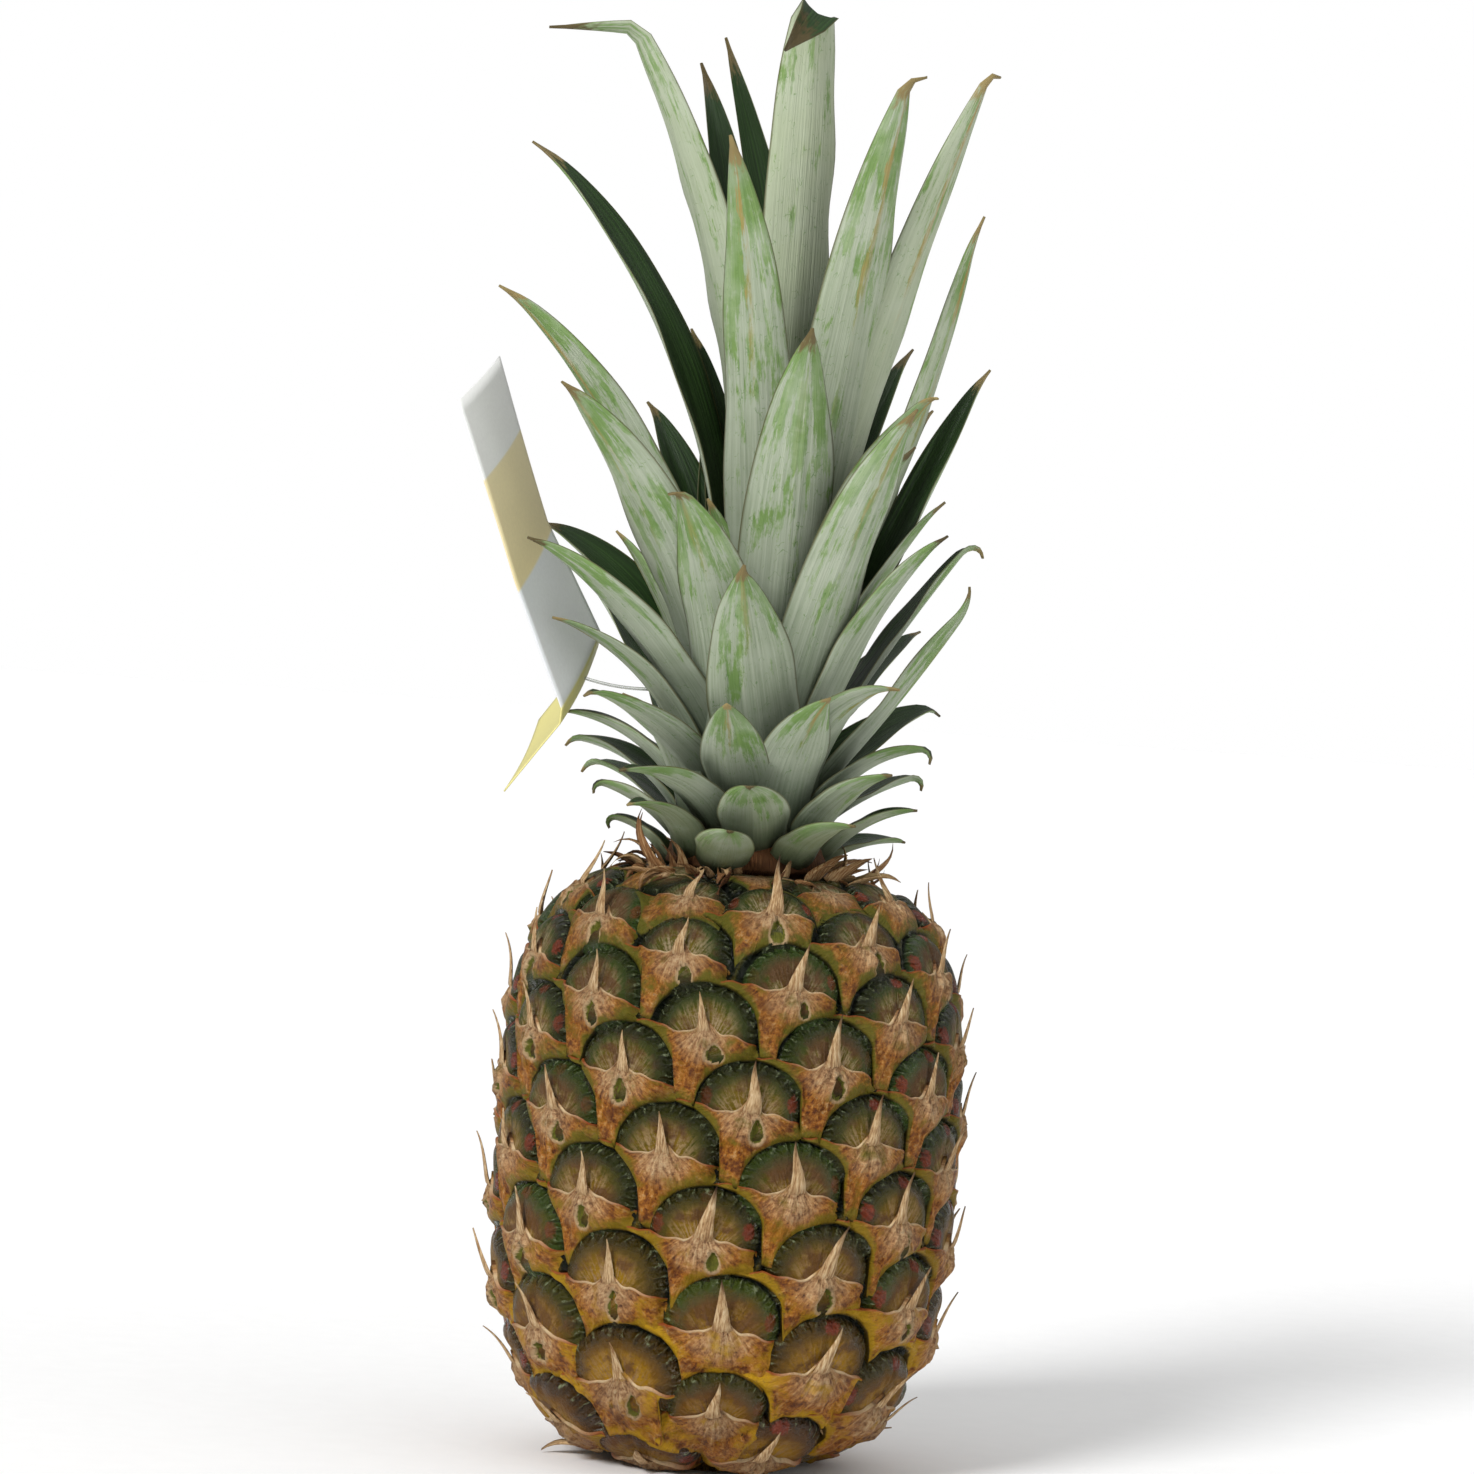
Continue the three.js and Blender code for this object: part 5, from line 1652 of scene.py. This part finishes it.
@dataclass(frozen=True)
class HalfDryBract(Finish):
    """Fleshy bract: half-dry fibrous skin, dull, orange-brown with a cream papery edge."""

    name: ClassVar[str] = "half-dry bract skin"
    fan_top: float = 4.5
    fibres: float = 13.0

    def shader(self, t: Tree) -> Socket:
        """Adds the nodes; fibres run together towards a point above the middle of the upper edge.

        Args:
            t: The material's tree.

        Returns:
            The shader's output.
        """
        place, kind, marks = (
            t.add("Attribute", out="Vector", attribute_name=name) for name in ("place", "kind", "marks")
        )
        x, y = (t.add("SeparateXYZ", [place], out=i) for i in range(2))
        share, chance = (t.add("SeparateXYZ", [kind], out=i) for i in range(2))
        below, above, split = (t.add("SeparateXYZ", [marks], out=i) for i in range(3))
        own = t.add("Math", [chance, OWN_PATTERN], operation="MULTIPLY")
        at = t.add("CombineXYZ", [x, y, own])
        drop = t.add("Math", [self.fan_top, y], operation="SUBTRACT")
        fan = t.add("Math", [x, drop], operation="ARCTAN2")
        fan = t.add("Math", [fan, self.fibres], operation="MULTIPLY")
        reach = t.add("CombineXYZ", [x, drop, 0.0])
        reach = t.add("VectorMath", [reach], out="Value", operation="LENGTH")
        reach = t.add("Math", [reach, 0.22], operation="MULTIPLY")
        rays = t.add("CombineXYZ", [fan, reach, own])
        fibres, patch, speck = (
            t.add("TexNoise", {"Vector": by, "Scale": scale, "Detail": detail, "Roughness": rough})
            for by, scale, detail, rough in (
                (rays, 0.95, 5.0, 0.66), (at, 0.24, 5.0, 0.6), (at, 0.9, 4.0, 0.7),
            )
        )
        marble = t.add("Math", [speck, 0.6], operation="MULTIPLY")
        marble = t.add("Math", [fibres, 0.4, marble], operation="MULTIPLY_ADD")
        flesh, tan, green = (t.add("ValToRGB", [by], stops=stops) for by, stops in (
            (marble, (
                (0.36, "3c1c0e"), (0.43, "6b3a14"), (0.5, "945a1c"), (0.57, "b27c3c"), (0.66, "cfa878"))),
            (marble, ((0.34, "5f4034"), (0.43, "94704e"), (0.51, "c09c74"), (0.62, "e0c69e"))),
            (share, ((0.0, "a07c0c"), (0.15, "b88e08"), (0.32, "866c0e"), (0.5, "625c12"), (1.0, "465014"))),
        ))
        aside = t.add("Math", [x], operation="ABSOLUTE")
        # The foot mask below is painted shade: the flesh goes near black along its lower edge, where it meets
        # the groove.
        orange, blotch, upper, low, tail, foot, dots, open_edge, reddish, dry = (
            t.add("MapRange", [by, *ends]) for by, ends in (
                (patch, (0.5, 0.62, 0.0, 0.55)), (patch, (0.48, 0.36, 0.0, 0.6)),
                (share, (0.6, 1.0, 0.0, 0.35)), (above, (4.2, 0.4, 0.0, 0.8)),
                (aside, (5.0, 14.0, 0.0, 0.6)), (above, (0.7, 0.1, 0.0, 0.85)),
                (speck, (0.6, 0.7, 0.0, 0.6)), (aside, (1.6, 3.2, 0.0, 0.9)),
                (aside, (4.0, 11.0, 0.0, 1.0)), (share, (0.2, 0.05, 0.0, 0.3)),
            )
        )
        # The hub is the pale middle of the bract, round the foot of its spine.
        far = t.add("VectorMath", [at, (0.0, -0.6, 0.0)], operation="SUBTRACT")
        far = t.add("VectorMath", [far, (1 / 7.5, 1 / 6.8, 0.0)], operation="MULTIPLY")
        far = t.add("VectorMath", [far], out="Value", operation="LENGTH")
        low = t.add("Math", [low, tail], operation="ADD")
        torn = t.add("Math", [speck, 0.45, split], operation="MULTIPLY_ADD")
        hub, low, rim = (
            t.add("MapRange", [t.add("Math", [one, amount, other], operation="MULTIPLY_ADD"), *ends])
            for one, amount, other, ends in (
                (speck, 0.5, far, (1.3, 0.45, 0.0, 0.85)), (patch, 3.4, low, (1.8, 2.5, 0.0, 0.88)),
                (speck, 0.9, below, (0.55, 0.95, 1.0, 0.0)),
            )
        )
        rim = t.add("Math", [rim, open_edge], operation="MULTIPLY")
        ring = t.add("MapRange", [torn, 1.2, 1.42, 0.9, 0.0])
        inside = t.add("MapRange", [torn, 1.02, 1.14, 1.0, 0.0])
        lip, wet, pith = (t.add("Mix", {0: by, 6: one, 7: other}, 2, data_type="RGBA") for by, one, other in (
            (reddish, "dcc298", "8c4420"), (speck, "1f260c", "7c7a28"), (speck, "7a5836", "dcc096"),
        ))
        # The foot's near-black is painted shade along the bract's lower edge.
        for amount, colour in (
            (orange, "a05c10"), (blotch, "4e2a18"), (upper, "6a5030"), (hub, tan), (low, green),
            (foot, "10140a"), (dots, "4a2a1c"), (rim, lip), (ring, pith), (inside, wet), (dry, "4a3018"),
        ):
            flesh = t.add("Mix", {0: amount, 6: flesh, 7: colour}, 2, data_type="RGBA")
        grain = t.add("Math", [speck, 0.4, fibres], operation="MULTIPLY_ADD")
        bump = t.add("Bump", {"Height": grain, "Distance": 0.0014, "Strength": 1.0})
        return t.add("BsdfPrincipled", {
            "Base Color": flesh, "Roughness": 0.46, "Normal": bump, "Specular IOR Level": 0.16})


@dataclass(frozen=True)
class BleachedSpine(Finish):
    """Dead papery bract tip: bleached cellulose, dry and fibrous, brown at the point."""

    name: ClassVar[str] = "bleached dry spine"

    def shader(self, t: Tree) -> Socket:
        """Adds the nodes; the fibres run along the spine.

        Args:
            t: The material's tree.

        Returns:
            The shader's output.
        """
        place, kind = (t.add("Attribute", out="Vector", attribute_name=name) for name in ("place", "kind"))
        chance = t.add("SeparateXYZ", [kind], out=1)
        along = t.add("SeparateXYZ", [place], out=1)
        shift = t.add("CombineXYZ", [chance, chance, chance])
        stretched = t.add("VectorMath", [place, (2.4, 0.3, 0.4)], operation="MULTIPLY")
        moved = t.add("VectorMath", [shift, (37.0, 17.0, 9.0), stretched], operation="MULTIPLY_ADD")
        fibres = t.add("TexNoise", {"Vector": moved, "Scale": 1.0, "Detail": 5.0, "Roughness": 0.7})
        paper = t.add("ValToRGB", [fibres], stops=(
            (0.32, "6f4e30"), (0.45, "a8845a"), (0.56, "ccae84"), (0.72, "e3d0aa")))
        foot = t.add("MapRange", [along, 2.5, -1.0, 0.0, 0.7])
        tip = t.add("MapRange", [along, 9.0, 13.0, 0.0, 1.0])
        tip = t.add("Math", [tip, chance], operation="MULTIPLY")
        for amount, colour in ((foot, "94704e"), (tip, "352014")):
            paper = t.add("Mix", {0: amount, 6: paper, 7: colour}, 2, data_type="RGBA")
        bump = t.add("Bump", {"Height": fibres, "Distance": 0.0008, "Strength": 1.0})
        return t.add("BsdfPrincipled", {
            "Base Color": paper, "Roughness": 0.66, "Normal": bump, "Specular IOR Level": 0.2})


@dataclass(frozen=True)
class StrawScale(Finish):
    """Dead scales and fibres: thin dry cellulose, straw to dark brown."""

    name: ClassVar[str] = "dry straw scales"

    def shader(self, t: Tree) -> Socket:
        """Adds the nodes; each scale has a tone of its own and a darker tip.

        Args:
            t: The material's tree.

        Returns:
            The shader's output.
        """
        place, kind = (t.add("Attribute", out="Vector", attribute_name=name) for name in ("place", "kind"))
        chance = t.add("SeparateXYZ", [kind], out=1)
        along = t.add("SeparateXYZ", [place], out=2)
        stretched = t.add("VectorMath", [place, (2.6, 0.25, 0.0)], operation="MULTIPLY")
        fibres = t.add("TexNoise", {"Vector": stretched, "Scale": 1.0, "Detail": 4.0})
        tone = t.add("Math", [chance, 0.45, fibres], operation="MULTIPLY_ADD")
        paper = t.add("ValToRGB", [tone], stops=(
            (0.35, "2f1c12"), (0.55, "5f3c22"), (0.75, "8e6640"), (0.95, "c4a478")))
        tip = t.add("MapRange", [along, 0.6, 1.0, 0.0, 0.7])
        paper = t.add("Mix", {0: tip, 6: paper, 7: "3c2616"}, 2, data_type="RGBA")
        bump = t.add("Bump", {"Height": fibres, "Distance": 0.0006, "Strength": 0.8})
        return t.add("BsdfPrincipled", {
            "Base Color": paper, "Roughness": 0.72, "Normal": bump, "Specular IOR Level": 0.2})


@dataclass(frozen=True)
class CrownLeaf(Finish):
    """Bromeliad leaf: waxy grey bloom on the outer face, darker and glossier green inside."""

    name: ClassVar[str] = "glaucous crown leaf"

    def shader(self, t: Tree) -> Socket:
        """Adds the nodes from the bloom outwards; the inner face, the edges and the tip come last.

        Args:
            t: The material's tree.

        Returns:
            The shader's output.
        """
        place, kind = (t.add("Attribute", out="Vector", attribute_name=name) for name in ("place", "kind"))
        u, along, side = (t.add("SeparateXYZ", [place], out=i) for i in range(3))
        share, chance, t_along = (t.add("SeparateXYZ", [kind], out=i) for i in range(3))
        number = t.add("Math", [chance, 91.0], operation="MULTIPLY")
        width = t.add("Math", [u, 9.0], operation="MULTIPLY")
        flat = t.add("CombineXYZ", [width, along, number])
        # Veins and rubbed streaks run along the leaf, and scratches stray across it.
        fine, long, stray = (t.add("VectorMath", [flat, by], operation="MULTIPLY") for by in (
            (1.6, 0.02, 1.0), (0.34, 0.045, 1.0), (0.8, 0.26, 1.0),
        ))
        veins = t.add("TexNoise", {"Vector": fine, "Scale": 1.0, "Detail": 3.0, "Roughness": 0.7})
        rub = t.add("TexNoise", {"Vector": long, "Scale": 1.0, "Detail": 8.0, "Roughness": 0.72})
        mottle, faint, course = (
            t.add("TexNoise", {"Vector": by, "Scale": scale, "Detail": detail})
            for by, scale, detail in ((flat, 0.35, 5.0), (flat, 0.08, 3.0), (stray, 1.0, 1.0))
        )
        bloom = t.add("ValToRGB", [veins], stops=((0.3, "8f9b82"), (0.5, "a2ad94"), (0.7, "b6bfa8")))
        dark = t.add("ValToRGB", [veins], stops=((0.3, "14220e"), (0.55, "263e1a"), (0.75, "3c5828")))
        middle = t.add("Math", [u], operation="ABSOLUTE")
        tip = t.add("Math", [mottle, 0.1, t_along], operation="MULTIPLY_ADD")
        # The leaf's base is darker, partly its own tone and partly painted shade from the leaves round it;
        # hollow is painted shade at the very base.
        base_tone_and_shade, lowest, young, faint, often, some, inner, hollow, rim, tip = (
            t.add("MapRange", [by, *ends]) for by, ends in (
                (t_along, (0.45, 0.0, 0.0, 0.75)), (share, (0.2, 0.02, 0.0, 0.6)),
                (share, (0.75, 1.0, 0.0, 0.7)), (faint, (0.45, 0.7, 0.0, 0.4)),
                (mottle, (0.5, 0.58, 0.0, 0.6)), (chance, (0.3, 0.75, 0.0, 1.0)),
                (side, (-0.2, 0.2, 1.0, 0.0)), (t_along, (0.24, 0.0, 0.0, 0.7)),
                (middle, (0.94, 0.985, 0.0, 0.85)), (tip, (0.985, 1.01, 0.0, 1.0)),
            )
        )
        worn = t.add("Math", [t_along, 0.32, rub], operation="MULTIPLY_ADD")
        worn = t.add("Math", [young, -0.16, worn], operation="MULTIPLY_ADD")
        worn = t.add("MapRange", [worn, 0.68, 0.77, 0.0, 0.95])
        worn = t.add("Math", [worn, mottle], operation="MULTIPLY")
        worn = t.add("MapRange", [worn, 0.08, 0.42, 0.0, 0.85])
        # A scratch is the thin line where a slow pattern passes its middle, and the dry rib is found alike.
        drift = t.add("Math", [rub, 0.9, u], operation="MULTIPLY_ADD")
        lines = []
        for by, at, ends in ((course, 0.5, (0.014, 0.004, 0.0, 1.0)), (drift, 0.45, (0.26, 0.04, 0.0, 1.0))):
            off = t.add("Math", [by, at], operation="SUBTRACT")
            off = t.add("Math", [off], operation="ABSOLUTE")
            lines.append(t.add("MapRange", [off, *ends]))
        scratch, rib = lines
        scratch = t.add("Math", [scratch, often], operation="MULTIPLY")
        for by in (rub, t_along):
            rib = t.add("Math", [rib, by], operation="MULTIPLY")
        rib = t.add("MapRange", [rib, 0.28, 0.46, 0.0, 0.7])
        rib = t.add("Math", [rib, some], operation="MULTIPLY")
        rubbed, dead = (t.add("Mix", {0: by, 6: one, 7: other}, 2, data_type="RGBA") for by, one, other in (
            (veins, "467428", "86a652"), (chance, "4a4026", "a4915f"),
        ))
        skin = bloom
        for amount, colour in (
            (base_tone_and_shade, "6c7b66"), (lowest, "7f8a58"), (young, "b6c09e"), (worn, rubbed), (faint, "bec6b2"),
            (scratch, "56803a"), (rib, "b08a4c"), (inner, dark), (hollow, "39442c"), (rim, "5c5a38"),
            (tip, dead),
        ):
            skin = t.add("Mix", {0: amount, 6: skin, 7: colour}, 2, data_type="RGBA")
        bump = t.add("Bump", {"Height": veins, "Distance": 0.0005, "Strength": 0.7})
        gloss = t.add("MapRange", [inner, 0.0, 1.0, 0.58, 0.36])
        return t.add("BsdfPrincipled", {
            "Base Color": skin, "Roughness": gloss, "Normal": bump, "Specular IOR Level": 0.3})


@dataclass(frozen=True)
class TagCard(Finish):
    """Coated card: smooth clay coating over pulp, faint mottle and a soft sheen."""

    name: ClassVar[str] = "coated tag card"
    length: float = 112.0
    # Panels of the tag: where each one starts and ends, as shares of the length, and its colours there.
    panels: tuple = (
        (0.0, "e3da8e"), (0.243, "e3da8e"), (0.247, "e9eaec"), (0.53, "e6e8ea"),
        (0.533, "f0dfae"), (0.8, "f1e2b4"), (0.803, "f4f4f2"), (1.0, "f6f6f4"),
    )

    def shader(self, t: Tree) -> Socket:
        """Adds the nodes; the colour follows the tag's length.

        Args:
            t: The material's tree.

        Returns:
            The shader's output.
        """
        place = t.add("Attribute", out="Vector", attribute_name="place")
        along = t.add("SeparateXYZ", [place], out=1)
        pulp = t.add("TexNoise", {"Vector": place, "Scale": 0.9, "Detail": 5.0})
        share = t.add("Math", [along, self.length], operation="DIVIDE")
        panels = t.add("ValToRGB", [share], stops=self.panels)
        shade = t.add("MapRange", [pulp, 0.3, 0.7, 0.95, 1.0])
        card = t.add("VectorMath", {0: panels, "Scale": shade}, operation="SCALE")
        bump = t.add("Bump", {"Height": pulp, "Distance": 0.0001, "Strength": 0.3})
        return t.add("BsdfPrincipled", {"Base Color": card, "Roughness": 0.42, "Normal": bump})


@dataclass(frozen=True)
class ClearPlastic(Finish):
    """Moulded polypropylene filament: clear and slightly milky."""

    name: ClassVar[str] = "clear polypropylene"

    def shader(self, t: Tree) -> Socket:
        """Adds the nodes; a faint haze makes the sheen uneven.

        Args:
            t: The material's tree.

        Returns:
            The shader's output.
        """
        coords = t.add("TexCoord", out="Object")
        haze = t.add("TexNoise", {"Vector": coords, "Scale": 900.0, "Detail": 2.0})
        rough = t.add("MapRange", [haze, 0.3, 0.7, 0.12, 0.24])
        return t.add("BsdfPrincipled", {
            "Base Color": "eef0ec", "Roughness": rough, "IOR": 1.49, "Transmission Weight": 0.75})


@dataclass(frozen=True)
class MattFloor(Finish):
    """Matt white board under the fruit: almost even, with the faintest grain."""

    name: ClassVar[str] = "matt white floor"

    def shader(self, t: Tree) -> Socket:
        """Adds the nodes.

        Args:
            t: The material's tree.

        Returns:
            The shader's output.
        """
        coords = t.add("TexCoord", out="Object")
        grain = t.add("TexNoise", {"Vector": coords, "Scale": 120.0, "Detail": 3.0})
        tone = t.add("Mix", {0: grain, 6: "fafafa", 7: "ffffff"}, 2, data_type="RGBA")
        return t.add("BsdfPrincipled", {"Base Color": tone, "Roughness": 0.9})


@dataclass
class Studio:
    """Plain pale floor, soft light and the camera."""

    distance: float = 1600.0
    target: tuple = (-4.7, 0.0, 192.3)
    pitch: float = 2.05
    roll: float = 3.95
    focal: float = 147.5
    sensor: float = 36.0
    ambient: float = 0.27
    middle: float = 190.0
    # Lights: name, place in metres, spread in degrees and power.
    lamps: tuple = (
        ("key", (-0.9, -1.3, 1.25), 18.0, 2.5), ("fill", (1.3, -1.2, 0.7), 80.0, 0.65),
        ("top", (0.1, 0.3, 1.6), 110.0, 0.95),
    )

    def camera(self) -> None:
        """Makes the camera at the photograph's viewing angle."""
        lens = bpy.data.cameras.new("camera")
        lens.lens = self.focal
        lens.sensor_width = self.sensor
        made = linked("camera", lens)
        down = math.radians(self.pitch)
        back = Vector((0, -math.cos(down), math.sin(down))) * self.distance
        roll = Matrix.Rotation(math.radians(self.roll), 4, "Z")
        turn = Matrix.Rotation(math.radians(90) - down, 4, "X") @ roll
        made.matrix_world = Matrix.Translation((Vector(self.target) + back) * MM) @ turn
        bpy.context.scene.camera = made

    def _lamp(self, name: str, place: tuple, spread: float, power: float) -> None:
        """Makes a soft far light that shines at the middle of the object.

        Args:
            name: Its name.
            place: Where it comes from, in metres.
            spread: Angle in degrees that it seems to cover.
            power: Its strength.
        """
        light = bpy.data.lights.new(name, "SUN")
        light.angle = math.radians(spread)
        light.energy = power
        made = linked(name, light)
        middle = Vector((0, 0, self.middle)) * MM
        made.location = place
        made.rotation_euler = (middle - Vector(place)).to_track_quat("-Z", "Y").to_euler()

    def build(self) -> None:
        """Makes the floor, the lights and the surrounding light."""
        mesh = bpy.data.meshes.new("floor")
        mesh.from_pydata([(-4, -3, 0), (4, -3, 0), (4, 6, 0), (-4, 6, 0)], [], [(0, 1, 2, 3)])
        mesh.materials.append(MattFloor().make())
        linked("floor", mesh)
        bpy.context.scene.view_settings.view_transform = "Standard"
        for lamp in self.lamps:
            self._lamp(*lamp)
        world = bpy.data.worlds.new("studio")
        bpy.context.scene.world = world
        world.use_nodes = True
        t = Tree(world.node_tree)
        seen = t.add("LightPath", out="Is Camera Ray")
        strength = t.add("MapRange", [seen, 0.0, 1.0, self.ambient, 1.0])
        light = t.add("Background", {"Color": "ffffff", "Strength": strength})
        t.add("OutputWorld", {"Surface": light})


def main() -> None:
    """Builds the pineapple, its tag and the studio."""
    logging.basicConfig(level=logging.INFO, format="%(name)s %(message)s")
    LOG.info("%d CAD nodes to stand for", len(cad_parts))
    studio = Studio()
    studio.camera()
    rind = Rind(Spiral(Barrel()))
    rind.build(WaxyRind(rind).make())
    Bracts(rind).build(HalfDryBract().make())
    Spines(rind).build(BleachedSpine().make())
    dry = StrawScale().make()
    DryScales(rind).build(dry)
    Crown().build(CrownLeaf().make(), dry)
    Tag().build(TagCard().make(), ClearPlastic().make())
    studio.build()


if __name__ == "__main__":
    main()
